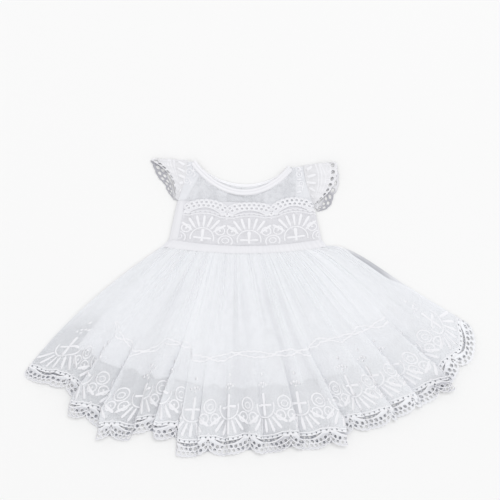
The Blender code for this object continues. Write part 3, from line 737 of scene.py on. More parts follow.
def repeat_figures(x):
    """Fan of rays, arch, cross and dots over the middle of a scallop."""
    made = []
    for number in range(FAN_RAYS):
        turn = math.radians((number - (FAN_RAYS - 1) / 2) * FAN_STEP)
        angle = turn - math.pi / 2
        start = ARCH_RADIUS + RAY_GAP
        made.append(satin_stitch(
            x + start * math.cos(angle), CROSS_Y + start * math.sin(angle), angle,
            RAY_LENGTH + RAY_LONGER_ASIDE * abs(math.sin(turn)), *RAY_WIDTHS))
    arch = np.radians(np.linspace(*ARCH_TURN, 25))
    made.append(thread_along(
        x + ARCH_RADIUS * np.cos(arch), CROSS_Y + ARCH_RADIUS * np.sin(arch), LINE_WIDTH))
    for across, up, turn, length, *widths in CROSS_BARS:
        made.append(satin_stitch(x + across, CROSS_Y + up, math.radians(turn), length, *widths))
    return made + [dot(x + across, CROSS_Y + up, size) for across, up, size in CROSS_DOTS]


def notch_figures(x):
    """Three rings over a notch, the largest on top, with a small one inside it."""
    rings = [ring(x + across, CROSS_Y + up, *reach) for across, up, *reach in NOTCH_RINGS]
    return rings + [dot(x + across, CROSS_Y + up, size) for across, up, size in NOTCH_DOTS]


# ---------------------------------------------------------------- finishes
NODE_STEP = 220.0
NET_CELL = 0.0016
NET_UNEVEN = 0.35
NET_THREAD = (0.10, 0.26)
MOTTLE_SCALE = 60.0
MOTTLE_RANGE = (0.35, 0.65)
BORDER_FADE = (0.105, 0.170)
SATIN_RIBS = 260.0
SATIN_SLUBS = 1.2
SATIN_CLOUDS = 22.0
THREAD_STRANDS = 900.0


def set_inputs(tree, node, inputs):
    """Gives a shader node's inputs their values, or links them to other nodes' outputs."""
    for key, value in inputs.items():
        if isinstance(value, bpy.types.NodeSocket):
            tree.links.new(value, node.inputs[key])
        else:
            node.inputs[key].default_value = value


def add_node(tree, kind, inputs=None, **settings):
    node = tree.nodes.new(kind)
    node.location = (NODE_STEP * (len(tree.nodes) - 1), 0.0)
    for key, value in settings.items():
        setattr(node, key, value)
    set_inputs(tree, node, inputs or {})
    return node


def map_range(tree, value, given, wanted, **settings):
    return add_node(tree, "ShaderNodeMapRange", {
        "Value": value, "From Min": given[0], "From Max": given[1], "To Min": wanted[0], "To Max": wanted[1]},
        **settings).outputs["Result"]


def blend_colours(tree, factor, first, second):
    return add_node(tree, "ShaderNodeMix", {"Factor": factor, "A": first, "B": second},
                    data_type="RGBA").outputs["Result"]


def sums(tree, operation, *terms, **settings):
    return add_node(tree, "ShaderNodeMath", dict(enumerate(terms)),
                    operation=operation, **settings).outputs["Value"]


def bump(tree, height, strength, distance):
    return add_node(tree, "ShaderNodeBump", {
        "Height": height, "Strength": strength, "Distance": distance}).outputs["Normal"]


def kept_share(tree, word):
    return add_node(tree, "ShaderNodeAttribute", attribute_name=word).outputs["Fac"]


def cut_measures(tree):
    return add_node(tree, "ShaderNodeUVMap", uv_map="cut").outputs["UV"]


def node_group(name, takes, gives):
    """A group with its sockets; returns it, what it takes, and the node of what it gives."""
    group = bpy.data.node_groups.new(name, "ShaderNodeTree")
    for word in takes:
        kind = "NodeSocketVector" if word == "Cut" else "NodeSocketFloat"
        group.interface.new_socket(word, in_out="INPUT", socket_type=kind)
    for word in gives:
        group.interface.new_socket(word, in_out="OUTPUT", socket_type="NodeSocketFloat")
    return group, add_node(group, "NodeGroupInput").outputs, add_node(group, "NodeGroupOutput")


def net_group():
    """Fine net: how much of a spot is thread, and how far the threads stand up."""
    group, taken, given = node_group("net_weave", ("Cut", "Cells", "Open", "Mottle"), ("Cover", "Height"))
    cells = add_node(
        group, "ShaderNodeTexVoronoi",
        {"Vector": taken["Cut"], "Scale": taken["Cells"], "Randomness": NET_UNEVEN},
        voronoi_dimensions="2D", feature="DISTANCE_TO_EDGE").outputs["Distance"]
    thread = map_range(group, cells, NET_THREAD, (1.0, 0.0), interpolation_type="SMOOTHSTEP")
    cover = map_range(group, thread, (0.0, 1.0), (taken["Open"], 1.0))
    clouds = add_node(
        group, "ShaderNodeTexNoise", {"Vector": taken["Cut"], "Scale": MOTTLE_SCALE, "Detail": 2.0},
        noise_dimensions="2D").outputs["Fac"]
    patches = map_range(group, clouds, MOTTLE_RANGE, (-1.0, 1.0))
    cloudy = sums(group, "MULTIPLY_ADD", patches, taken["Mottle"], cover)
    set_inputs(group, given, {"Cover": cloudy, "Height": thread})
    return group


def weave_group():
    """Woven satin: fine ribs one way, broken by slubs, and slow waves of shade."""
    group, taken, given = node_group("satin_weave", ("Cut",), ("Height", "Shade"))
    ribs = add_node(
        group, "ShaderNodeTexWave", {"Vector": taken["Cut"], "Scale": SATIN_RIBS, "Distortion": SATIN_SLUBS},
        wave_type="BANDS", bands_direction="DIAGONAL")
    clouds = add_node(
        group, "ShaderNodeTexNoise", {"Vector": taken["Cut"], "Scale": SATIN_CLOUDS, "Detail": 3.0},
        noise_dimensions="2D")
    set_inputs(group, given, {"Height": ribs.outputs["Fac"], "Shade": clouds.outputs["Fac"]})
    return group


def cloth_material(name, colour, roughness, sheen):
    material = bpy.data.materials.new(name)
    material.use_nodes = True
    tree = material.node_tree
    shader = tree.nodes["Principled BSDF"]
    set_inputs(tree, shader, {
        "Base Color": (*colour, 1.0), "Roughness": roughness, "Sheen Weight": sheen})
    return material, tree, shader


def net_finish(name, group, colour, open_share, border_open, shaded=(0.5, 0.5, 0.54), mottle=0.04):
    """Sheer net: thinner along the border than above it, and closed where it is stitched."""
    material, tree, shader = cloth_material(name, colour, roughness=0.85, sheen=0.15)
    cut = cut_measures(tree)
    height = add_node(tree, "ShaderNodeSeparateXYZ", {"Vector": cut}).outputs["Y"]
    opening = map_range(tree, height, BORDER_FADE, (border_open, open_share), interpolation_type="SMOOTHSTEP")
    net = add_node(tree, "ShaderNodeGroup", node_tree=group)
    set_inputs(tree, net, {"Cut": cut, "Cells": 1.0 / NET_CELL, "Open": opening, "Mottle": mottle})
    closed = sums(tree, "MAXIMUM", net.outputs["Cover"], kept_share(tree, "stitched"))
    # Where a piece's shade attribute is set, its colour is mixed towards the shaded colour: painted shade.
    # The thin attribute opens the net; some pieces use it to paint shade and light.
    set_inputs(tree, shader, {
        "Base Color": blend_colours(tree, kept_share(tree, "shade"), (*colour, 1.0), (*shaded, 1.0)),
        "Specular IOR Level": 0.2,
        "Alpha": sums(tree, "SUBTRACT", closed, kept_share(tree, "thin"), use_clamp=True),
        "Normal": bump(tree, net.outputs["Height"], strength=0.25, distance=0.0003)})
    return material


def satin_finish(name, group, light, dim, roughness, shaded=(0.66, 0.66, 0.70)):
    """Satin with soft clouds between two tones, darker where shade is painted on."""
    material, tree, shader = cloth_material(name, light, roughness, sheen=0.3)
    weave = add_node(tree, "ShaderNodeGroup", node_tree=group)
    set_inputs(tree, weave, {"Cut": cut_measures(tree)})
    cloth = blend_colours(tree, weave.outputs["Shade"], (*dim, 1.0), (*light, 1.0))
    set_inputs(tree, shader, {
        "Base Color": blend_colours(tree, kept_share(tree, "shade"), cloth, (*shaded, 1.0)),
        "Normal": bump(tree, weave.outputs["Height"], strength=0.15, distance=0.0003)})
    return material


def thread_finish(name, colour):
    """Embroidery thread, with the strands of its stitches."""
    material, tree, shader = cloth_material(name, colour, roughness=0.6, sheen=0.3)
    place = add_node(tree, "ShaderNodeTexCoord").outputs["Object"]
    strands = add_node(tree, "ShaderNodeTexNoise", {"Vector": place, "Scale": THREAD_STRANDS}).outputs["Fac"]
    set_inputs(tree, shader, {"Normal": bump(tree, strands, strength=0.3, distance=0.0002)})
    return material


NET = net_group()
WEAVE = weave_group()
# Each finish's shaded colour is painted shade, mixed in where a piece's shade attribute is set.
TULLE = net_finish("tulle", NET, (0.92, 0.935, 0.968), 0.56, 0.34, mottle=0.02)
TULLE_BACK = net_finish("tulle_back", NET, (0.90, 0.91, 0.94), 0.80, 0.80, (0.36, 0.37, 0.41))
LACE_NET = net_finish("lace_net", NET, (0.80, 0.80, 0.835), 0.80, 0.62)
SLEEVE_NET = net_finish("sleeve_net", NET, (0.93, 0.93, 0.95), 0.80, 0.86, (0.45, 0.45, 0.49))
YOKE_NET = net_finish("yoke_net", NET, (0.81, 0.82, 0.855), 0.52, 0.52, mottle=0.13)
SATIN = satin_finish("satin", WEAVE, (0.93, 0.93, 0.955), (0.89, 0.895, 0.925), 0.42)
BODICE_SATIN = satin_finish("bodice_satin", WEAVE, (0.83, 0.83, 0.86), (0.78, 0.78, 0.815), 0.45)
RIBBON = satin_finish("ribbon", WEAVE, (0.83, 0.83, 0.86), (0.79, 0.79, 0.825), 0.5)
BINDING = satin_finish("binding", WEAVE, (0.86, 0.86, 0.89), (0.82, 0.82, 0.855), 0.5)
# The back bodice's satin is a darker copy of the satin: painted shade, as it lies under the front.
SATIN_BACK_SHADED = satin_finish("satin_inside_shaded", WEAVE, (0.80, 0.81, 0.84), (0.72, 0.73, 0.77), 0.5)
THREAD = thread_finish("embroidery_thread", (0.86, 0.86, 0.89))
# Grey thread for the back panel's border and the caps' under halves: painted shade, since the same white
# thread lies there in the shade.
THREAD_BACK_SHADED = thread_finish("embroidery_thread_back_shaded", (0.50, 0.51, 0.55))
THREAD_INSIDE_SHADED = thread_finish("embroidery_thread_inside_shaded", (0.50, 0.50, 0.53))


# ---------------------------------------------------------------- outer skirt
BACK_REPEATS = 12
BACK_FOLDS = 12
BACK_FOLD_HEIGHT = 0.0010
BACK_FOLDS_FULL = 0.6
BACK_PLEATS = 4 * BACK_FOLDS
BACK_PLEAT_HEIGHT = 0.0009
BACK_PLEATS_END = 0.7
BACK_LEAN = 8.0
BACK_LEAN_SPREAD = 0.1
BACK_LEAN_FULL = 0.4
BACK_LEAN_EDGE = 0.05
BACK_HEM_CUT = BACK_REPEATS * REPEAT
FRONT_UPPER_ROWS = 24
BACK_UPPER_ROWS = 10

# Painted shade on the ground of the lace beside its scallops: how dark, by share along the hem.
EDGE_PLACES = (0.0, 0.3, 0.70, 0.80, 1.0)
EDGE_DARKS = (0.56, 0.46, 0.42, 0.14, 0.08)
EDGE_TOP = 0.014
EDGE_FADE = 0.006
BOTH_DARK = 0.4

# Painted shade in the troughs between the folds: their size, how dark it is down the skirt
# and in the border, and how much of it is left by share along the hem.
TROUGH_DEEP = 0.009
TROUGH_WIDTH = 0.009
TROUGH_DARK = 0.12
TROUGH_RANGE = (0.35, 0.3)
TROUGH_BORDER_DARK = 0.30
TROUGH_BORDER_RANGE = (0.68, 0.14)
TROUGH_PLACES = (0.30, 0.34, 0.36, 0.40, 0.60, 0.67, 0.85, 0.90)
TROUGH_LEFT = (1.0, 0.5, 0.5, 1.0, 1.0, 0.45, 0.45, 1.0)

# Painted shade in hollows of the border: share along the hem, height above it, how dark.
HOLLOW_SIZE = (0.013, 0.020)
HOLLOWS = (
    (0.117, 0.008, 0.35), (0.225, 0.010, 0.30), (0.331, 0.008, 0.35), (0.512, 0.014, 0.50),
    (0.530, 0.014, 0.50), (0.593, 0.010, 0.40), (0.866, 0.012, 0.90), (0.884, 0.014, 0.80))

# Painted shade in streaks where the gathers run together down the skirt: place across it, half width, how
# dark.
SHADOW_STREAK_RANGE = (0.06, 0.2, 0.86, 0.25)
SHADOW_STREAKS = (
    (0.215, 0.030, 0.11), (0.443, 0.010, 0.15), (0.482, 0.014, 0.07), (0.568, 0.016, 0.20),
    (0.620, 0.009, 0.20), (0.680, 0.012, 0.09))

# Painted light: streaks above the border where the net is made closer, so it reads lighter: place, half
# width, how much.
LIGHT_STREAKS = ((0.310, 0.028, 0.13), (0.860, 0.050, 0.11))
LIGHT_STREAKS_FROM = (0.130, 0.04)
# Along the hem, the border's net is made more open before one place, painted shade, and closer past another,
# painted light.
BORDER_SIDE_LIGHT = 0.10
SHADED_BEFORE = (0.36, 0.12)
LIT_PAST = (0.66, 0.10)
SIDE_LIGHT_TOP = (0.150, 0.05)

# Painted shade on the inside of the back: how dark it is by share along its hem, and how that fades up.
INSIDE_PLACES = (0.0, 0.2, 0.6, 0.72, 0.85, 1.0)
INSIDE_DARKS = (1.15, 1.1, 1.0, 0.60, 0.12, 0.0)
INSIDE_FADES = ((0.42, 0.020, 0.050), (0.30, 0.100, 0.120))
BESIDE_DARK = 0.58
BESIDE_ALONG = (0.93, 0.04)
BESIDE_RANGE = (0.115, 0.06, 0.330, 0.13)
CORNER_DARK = 0.90
CORNER_PLACE = (0.862, 0.006)
CORNER_SIZE = 0.022

# The braid along the seam of the underskirt, in the measures of the front's cut.
BRAID_START = 0.085 * HEM_CUT
BRAID_END = 0.90 * HEM_CUT
BRAID_HEIGHT = 0.1585
BRAID_SAG = 0.010
BRAID_WAVE = 0.0022
BRAID_WAVES = 7
BRAID_PART = (0.0008, 0.0040)
BRAID_CROSSINGS = 6.5
BRAID_DRIFT = (3, 0.0, 0.6)
BRAID_TWIST = 0.0006
BRAID_TWISTS = 61
BRAID_POINTS = 361
BRAID_WIDTH = 0.0024
BRAID_PRESSED = 0.18
BRAID_REST = 0.0002


def lay_skirt_back(x, y, height):
    """The back panel, pressed flat under the gown in low folds that lean outwards."""
    cloth = np.clip(x / BACK_HEM_CUT, 0.0, 1.0)
    down = panel_down(cloth, y, BACK_HEM_SHORT)
    lift = (BACK_FOLD_HEIGHT * swell(BACK_FOLDS * cloth) * ease(down / BACK_FOLDS_FULL)
            + BACK_PLEAT_HEIGHT * swell(BACK_PLEATS * cloth) * (1.0 - ease(down / BACK_PLEATS_END)))
    side = np.tanh((cloth - 0.5) / BACK_LEAN_SPREAD)
    shift = BACK_LEAN * side * (lift - BACK_FOLD_HEIGHT / 2) * ease(down / BACK_LEAN_FULL)
    shift = shift * ease(np.minimum(cloth, 1.0 - cloth) / BACK_LEAN_EDGE)
    across = np.clip(cloth + shift / HEM_LENGTH, 0.0, 1.0)
    return raised(fan(across, down), BACK_PANEL_Z + lift + height)


def hem_shade(x, y):
    """Painted shade on the ground of the lace: along its edge, down in the troughs of the folds, in hollows
    of the border and in streaks down the skirt.
    """
    along = x / HEM_CUT
    edge = np.interp(along, EDGE_PLACES, EDGE_DARKS) * (1.0 - past(y - scallop_rise(x), EDGE_TOP, EDGE_FADE))
    across = cloth_across(x)
    down = panel_down(across, y, 0.0)
    trough = np.zeros_like(x)
    for first, second, foot in zip(FOLDS, FOLDS[1:], FEET[1:-1]):
        trough += 0.5 * (first.height + second.height) / TROUGH_DEEP * spot((across - foot) / TROUGH_WIDTH)
    shadow = trough * np.interp(along, TROUGH_PLACES, TROUGH_LEFT) * (
        TROUGH_DARK * past(down, *TROUGH_RANGE) + TROUGH_BORDER_DARK * past(down, *TROUGH_BORDER_RANGE))
    hollow = sum(dark * spot((along - place) / HOLLOW_SIZE[0]) * spot((y - up) / HOLLOW_SIZE[1])
                 for place, up, dark in HOLLOWS)
    shadow_streak = sum(dark * spot((across - place) / width) for place, width, dark in SHADOW_STREAKS)
    together = np.maximum(edge, shadow) + BOTH_DARK * np.minimum(edge, shadow)
    return together + hollow + shadow_streak * within(down, *SHADOW_STREAK_RANGE)


def border_painted_light_and_shade(x, y):
    """The net is made more open at the border's left end, so it reads darker, and closer at its right end and
    in streaks above the border, so it reads lighter: painted shade and painted light.
    """
    along = x / HEM_CUT
    side_light = BORDER_SIDE_LIGHT * (before(along, *SHADED_BEFORE) - past(along, *LIT_PAST))
    across = cloth_across(x)
    light_streaks = sum(much * spot((across - place) / width) for place, width, much in LIGHT_STREAKS)
    return side_light * before(y, *SIDE_LIGHT_TOP) - light_streaks * past(y, *LIGHT_STREAKS_FROM)


def inside_shade(x, y):
    """Painted shade on the inside of the back: under the border lace, most towards the left, beside the
    turned-in front, and in one spot near the right of its hem.
    """
    along = x / BACK_HEM_CUT
    fading = 1.0
    for much, start, rise in INSIDE_FADES:
        fading = fading - much * past(y, start, rise)
    under = np.interp(along, INSIDE_PLACES, INSIDE_DARKS) * fading
    beside = BESIDE_DARK * past(along, *BESIDE_ALONG) * within(y, *BESIDE_RANGE)
    place, up = CORNER_PLACE
    corner = CORNER_DARK * spot((along - place) / CORNER_SIZE) * spot((y - up) / CORNER_SIZE)
    return np.maximum(np.maximum(under, beside), corner)


def braid_threads():
    """Two fine cords that cross and part along the seam of the underskirt."""
    run = np.linspace(BRAID_START, BRAID_END, BRAID_POINTS)
    share = (run - BRAID_START) / (BRAID_END - BRAID_START)
    height = BRAID_HEIGHT - BRAID_SAG * (2 * share - 1) ** 2 + BRAID_WAVE * sway(BRAID_WAVES * share)
    least, more = BRAID_PART
    part = least + more * np.abs(sway(BRAID_CROSSINGS * share, drift(share, *BRAID_DRIFT)))
    part = part + BRAID_TWIST * sway(BRAID_TWISTS * share)
    return [thread_along(run, height + part, BRAID_WIDTH), thread_along(run, height - part, BRAID_WIDTH)]


def dress_outer_skirt():
    front = lace_cloth("skirt_front_net", REPEATS, FRONT_UPPER_ROWS, lay_skirt_front, TULLE,
                       shade=hem_shade, thin=border_painted_light_and_shade)
    drawing = threads_piece("skirt_front_embroidery", border_threads(REPEATS), lay_skirt_front, THREAD)
    braid = threads_piece("skirt_front_braid", braid_threads(), lay_skirt_front, THREAD,
                          press=BRAID_PRESSED, rest=BRAID_REST)
    dress(["skirt_front", "tier_braid_front"])
    back = lace_cloth("skirt_back_net", BACK_REPEATS, BACK_UPPER_ROWS, lay_skirt_back, TULLE_BACK,
                      shade=inside_shade)
    drawing = threads_piece(
        "skirt_back_embroidery", border_threads(BACK_REPEATS, full=False), lay_skirt_back, THREAD_BACK_SHADED)
    dress(["skirt_back"])


# ---------------------------------------------------------------- underskirt
HEM_SLACK = 0.011
HEM_SLACKS = 13
HEM_SLACK_DRIFT = (5, 0.0, 0.4)
HEM_SLACK_FROM = 0.02
LINING_CUT = 0.62
BACK_LINING_WAVE = 0.0004
BACK_LINING_WAVES = 9
BACK_LINING_FULL = 0.5
WAIST_RIPPLE = 0.0006
WAIST_RIPPLES = 37
WAIST_RIPPLE_END = 0.35
TIER_DRIFT = (9, 0.0, 0.3)


def lay_lining(low, high, height, ripple):
    """A panel of the underskirt between two shares of the drop."""

    def place(s, t):
        across = mix(LINING_LEFT, LINING_RIGHT, s)
        down = mix(high, low, t)
        slack = HEM_SLACK * sway(HEM_SLACKS * s + drift(s, *HEM_SLACK_DRIFT))
        down = down + slack * past(down - TIER_SEAM, HEM_SLACK_FROM, TIER_HEM - TIER_SEAM)
        points = raised(fan(across, down), height(across, down) + ripple(across, down))
        return points, at(s * LINING_CUT, (1.0 - down) * PANEL_LENGTH)

    return place


def back_lining_height(across, down):
    wave = BACK_LINING_WAVE * swell(BACK_LINING_WAVES * across) * ease(down / BACK_LINING_FULL)
    return BACK_LINING_Z + wave


def waist_ripple(across, down):
    return WAIST_RIPPLE * (1.0 - swell(WAIST_RIPPLES * across)) * (1.0 - ease(down / WAIST_RIPPLE_END))


def tier_ripple(across, down):
    return TIER_GATHER_HEIGHT * (1.0 - swell(TIER_GATHERS * across + drift(across, *TIER_DRIFT)))


def dress_underskirt():
    upper = panel("underskirt_front_satin", 240, 16,
                  lay_lining(0.0, TIER_SEAM, front_lining_height, waist_ripple), SATIN)
    dress(["underskirt_front"])
    tier = panel("underskirt_tier_satin", 480, 8,
                 lay_lining(TIER_SEAM, TIER_HEM, front_lining_height, tier_ripple), SATIN)
    dress(["underskirt_tier_front"])
    back = panel("underskirt_back_satin", 120, 12,
                 lay_lining(0.0, TIER_HEM, back_lining_height, waist_ripple), SATIN)
    dress(["underskirt_back"])


# ---------------------------------------------------------------- bodice
Side = namedtuple("Side", "underarm armhole shoulder neck")
LEFT = Side(*np.array(((-0.114, 0.173), (-0.099, 0.204), (-0.098, 0.235), (-0.089, 0.234))))
RIGHT = Side(*np.array(((0.103, 0.166), (0.090, 0.197), (0.087, 0.227), (0.066, 0.225))))
SHOULDER_SHARE = 0.055
ARMHOLE_REACH = 0.3
NECK_DEPTH_FRONT = 0.044
NECK_DEPTH_BACK = 0.033
NECK_SQUARE = 0.88
BINDING_WIDTH_FRONT = 0.0100
BINDING_WIDTH_BACK = 0.0050
BINDING_GROOVE = (0.55, 0.13)
BINDING_CUT = (0.19, 0.012)
CENTRE_BACK = 0.49
CENTRE_BACK_GAP = 0.003
BODICE_Z = 0.0036
BODICE_BACK_Z = 0.0009
BODICE_LACE_Z = 0.0046
BODICE_SEAM_DROP = 0.0022
BODICE_SEAM_END = 0.0012
BODICE_SEAM_WIDTH = 0.020
BODICE_SLACK = 0.0005
BODICE_SLACK_TURNS = (2.3, 0.4)
BODICE_SIDE_SLACK = 0.0006
BODICE_SIDE_PLACE = (0.05, 0.03)
YOKE_SLACK = 0.0006
YOKE_SLACK_TURNS = (3.1, 0.7)
BACK_SLACK_SHARE = 0.3
BAND_LOW = -0.0010
BAND_OVER_BODICE = 0.0008
BAND_SEAM_WIDTH = 0.025
BAND_PUFF = 0.0004
BAND_PLEAT = 0.0003
BAND_PLEATS = 41
BAND_DRIFT = (6, 0.0, 0.5)
# Painted shade towards the band's upper edge: where it starts and rises, and how dark.
BAND_SHADE_RANGE = (0.3, 0.8)
BAND_EDGE_SHADE = 0.30
BODICE_LACE_REPEATS = 3
BODICE_LACE_LENGTH = BODICE_LACE_REPEATS * REPEAT
BODICE_LACE_TOP = 0.0887
BODICE_LACE_LOW = BAND_HEIGHT + 0.0002
BODICE_DRAWN_TO = BODICE_LACE_TOP - 0.0010
BODICE_EYELET_WIDTH = 0.0024
BODICE_LACE_LEFT = 0.0125
BODICE_LACE_RIGHT = 0.0006
BODICE_LACE_EDGE = 0.1690
BODICE_LACE_EDGE_LEFT = 0.0055
BODICE_LACE_EDGE_RIGHT = 0.0085
BODICE_LACE_EDGE_REACH = 0.09

# Painted shade on the yoke: its net is made more open, so it reads darker: how much, its middle and width
# across, and the heights that this fades between, under the neckline and beside the right seam.
YOKE_Z = BODICE_Z - 0.0004
YOKE_SHADE_THIN = 0.42
YOKE_SHADE_ACROSS = (-0.0170, 0.022)
YOKE_SHADE_RANGE = (0.166, 0.006, 0.190, 0.012)
YOKE_SEAM_THIN = 0.16
YOKE_SEAM_ACROSS = (0.0670, 0.0055)
YOKE_SEAM_RANGE = (0.190, 0.008)

# It is lined on the shoulders: left of a slanting line, and right of a place across.
YOKE_LINED = 0.94
LINED_LEFT_FOOT = (-0.099, 0.182)
LINED_LEFT_SLANT = 0.58
LINED_LEFT_FADE = 0.007
LINED_RIGHT = (0.0710, 0.005)

# Painted shade on the satin under the lace, and how much more under the lace's edge.
LACE_GROUND_DARK = 0.12
LACE_EDGE_DARK = 0.43
LACE_EDGE_UP = (0.138, 0.012)
LACE_EDGE_ACROSS = (-0.108, 0.006)

# Figures on the shoulders: rings with a dot, by place and size, and leaves by place and turn.
SHOULDER_Z = BODICE_Z + 0.0004
SHOULDER_RING = (14, 0.0016)
SHOULDER_DOT = 0.6
SHOULDER_RINGS = (
    (-0.0955, 0.2180, 0.0050), (-0.0850, 0.2235, 0.0036), (-0.0995, 0.2045, 0.0042),
    (0.0800, 0.2140, 0.0044), (0.0835, 0.1990, 0.0040))
SHOULDER_LEAVES = (
    (-0.0900, 0.2090, 0.9), (-0.0950, 0.1960, 1.2), (-0.1000, 0.2270, 0.4), (-0.0870, 0.2150, 1.9),
    (0.0760, 0.2060, 0.1), (0.0765, 0.1950, 0.2), (0.0765, 0.1850, 0.3), (0.0840, 0.2220, 2.6),
    (0.0770, 0.2205, 0.2), (0.0850, 0.1890, 1.4))
LEAF = (0.0075, 0.0016, 0.0032)


def neck_line(s, depth):
    line = mix(LEFT.neck, RIGHT.neck, s[..., None])
    line[..., 1] -= depth * np.maximum(0.0, 4.0 * s * (1.0 - s)) ** NECK_SQUARE
    return line


def body_flat(s, t):
    """Lower bodice, from the waistband up to the underarms."""
    high = mix(LEFT.underarm, RIGHT.underarm, s[..., None])
    return mix(waist_line(s, BAND_HEIGHT), high, t[..., None])


def armhole_curve(side, t):
    return bend(side.underarm, side.armhole, side.shoulder, t)


def yoke_flat(s, t, depth):
    """Sheer upper bodice: from the underarm line up to shoulders and neckline."""
    share, up = s[..., None], t[..., None]
    sides = ((LEFT, share), (RIGHT, 1.0 - share))
    left, right = (mix(side.shoulder, side.neck, np.minimum(near, SHOULDER_SHARE) / SHOULDER_SHARE)
                   for side, near in sides)
    neck = neck_line(np.clip((s - SHOULDER_SHARE) / (1 - 2 * SHOULDER_SHARE), 0.0, 1.0), depth)
    high = np.where(share < SHOULDER_SHARE, left, np.where(share > 1 - SHOULDER_SHARE, right, neck))
    flat = mix(mix(LEFT.underarm, RIGHT.underarm, share), high, up)
    for side, near in sides:
        pull = armhole_curve(side, t) - mix(side.underarm, side.shoulder, up)
        flat = flat + pull * (1.0 - ease(near / ARMHOLE_REACH))
    return flat


def body_wrinkles(s, t):
    """Slack of the bodice, most of it low at the sides."""
    place, width = BODICE_SIDE_PLACE
    side = BODICE_SIDE_SLACK * spot((np.minimum(s, 1.0 - s) - place) / width)
    slack = slack_waves(s, t, BODICE_SLACK, *BODICE_SLACK_TURNS)
    return slack + side - BODICE_SEAM_DROP * side_seam(s, BODICE_SEAM_WIDTH)


def yoke_wrinkles(s, t):
    return slack_waves(s, t, YOKE_SLACK, *YOKE_SLACK_TURNS)


def slack_waves(s, t, size, across, up):
    return size * sway(across * s + up * t) * np.sin(np.pi * t)


def lay_at(z, flat_place, lift, much=1.0):
    """A panel at a height, with its slack, or part of it."""

    def place(s, t):
        flat = flat_place(s, t)
        return raised(flat, z + much * lift(s, t)), flat

    return place


def yoke_to(depth):
    return lambda s, t: yoke_flat(s, t, depth)


def between(place, start, end):
    """The part of a panel between two shares across it."""
    return lambda s, t: place(mix(start, end, s), t)


def lay_band(z):
    """The waistband: a puffed ribbon in fine pleats, drawn down at the side seams."""

    def lift(s, t):
        puff = BAND_PUFF * (1.0 - (2 * t - 1) ** 4)
        turns = BAND_PLEATS * s + drift(s, *BAND_DRIFT)
        pleat = BAND_PLEAT * (1.0 - 2.0 * swell(turns)) * (1.0 - 0.6 * t)
        return puff + pleat - (z - BODICE_SEAM_END) * side_seam(s, BAND_SEAM_WIDTH)

    return lay_at(z, lambda s, t: waist_line(s, mix(BAND_LOW, BAND_HEIGHT + BAND_OVER_BODICE, t)), lift)


def band_shade(points):
    """Painted shade, darker towards the ribbon's upper edge."""
    share = (points[:, 0] - WAIST_LEFT_X) / (WAIST_RIGHT_X - WAIST_LEFT_X)
    rise = (points[:, 1] - waist_line(share)[:, 1]) / BAND_HEIGHT
    return BAND_EDGE_SHADE * past(rise, *BAND_SHADE_RANGE)


def lay_bodice_lace(x, y, height):
    """The border lace upside down: its scallops point at the neck, its top is at the waist."""
    along = x / BODICE_LACE_LENGTH
    guess = mix(BODICE_LEFT_X + BODICE_LACE_LEFT, BODICE_RIGHT_X, along)
    side = ease(np.abs(guess) / BODICE_LACE_EDGE_REACH)
    edge = BODICE_LACE_EDGE + side * np.where(guess < 0.0, BODICE_LACE_EDGE_LEFT, BODICE_LACE_EDGE_RIGHT)
    share = (guess - BODICE_LEFT_X) / (BODICE_RIGHT_X - BODICE_LEFT_X)
    waist = waist_line(share, BODICE_LACE_LOW)[..., 1]
    flat_y = mix(edge, waist, y / BODICE_LACE_TOP)
    rise = (flat_y - WAIST_Y) / (LEFT.underarm[1] - WAIST_Y)
    left = mix(BODICE_LEFT_X, LEFT.underarm[0], rise) + BODICE_LACE_LEFT
    right = mix(BODICE_RIGHT_X, RIGHT.underarm[0], rise) - BODICE_LACE_RIGHT
    lift = BODICE_LACE_Z + body_wrinkles(share, np.clip(rise, 0.0, 1.0)) + height
    return at(mix(left, right, along), flat_y, lift)


def yoke_painted_shade(points):
    """Painted shade: the sheer front is made more open, so it reads darker, under the neckline and beside the
    right seam.
    """
    x, y = points[:, 0], points[:, 1]
    place, width = YOKE_SHADE_ACROSS
    middle = spot((x - place) / width) * within(y, *YOKE_SHADE_RANGE)
    place, width = YOKE_SEAM_ACROSS
    beside = spot(((x - place) / width) ** 2) * past(y, *YOKE_SEAM_RANGE)
    return YOKE_SHADE_THIN * middle + YOKE_SEAM_THIN * beside


def yoke_lining(points):
    """Closer cloth on the shoulders, where the sleeve lace is turned in over the yoke."""
    x, y = points[:, 0], points[:, 1]
    foot_x, foot_y = LINED_LEFT_FOOT
    left = 1.0 - ease((x - foot_x - LINED_LEFT_SLANT * (y - foot_y)) / LINED_LEFT_FADE)
    return YOKE_LINED * np.maximum(left, past(x, *LINED_RIGHT))


def under_lace(points):
    """Painted shade on the satin: a little under all the lace, more under its eyelets, but not at the open
    left side.
    """
    x, y = points[:, 0], points[:, 1]
    return LACE_GROUND_DARK + LACE_EDGE_DARK * past(y, *LACE_EDGE_UP) * past(x, *LACE_EDGE_ACROSS)


def lay_on_yoke(x, y, height):
    return at(x, y, SHOULDER_Z + height)


def shoulder_threads():
    """Small rings, leaves and dots on the shoulders."""
    threads = []
    for x, y, size in SHOULDER_RINGS:
        threads += [ring(x, y, size, size, *SHOULDER_RING), dot(x, y, size * SHOULDER_DOT)]
    return threads + [satin_stitch(x, y, turn, *LEAF) for x, y, turn in SHOULDER_LEAVES]


def binding_strip(depth, low, rise, width, tiny=0.001):
    """Satin binding over the neck edge: two rolls with a stitched groove between."""

    def place(s, t):
        along = neck_line(s + tiny, depth) - neck_line(s - tiny, depth)
        along = along / np.linalg.norm(along, axis=-1)[..., None]
        outward = at(-along[..., 1], along[..., 0])
        deep, wide = BINDING_GROOVE
        roll = np.sqrt(np.maximum(0.0, 1.0 - (2 * t - 1) ** 2)) * (1.0 - deep * spot((t - 0.50) / wide))
        flat = neck_line(s, depth) + outward * ((t - 0.5) * width)[..., None]
        return raised(flat, low + rise * roll), at(s, t) * BINDING_CUT

    return place


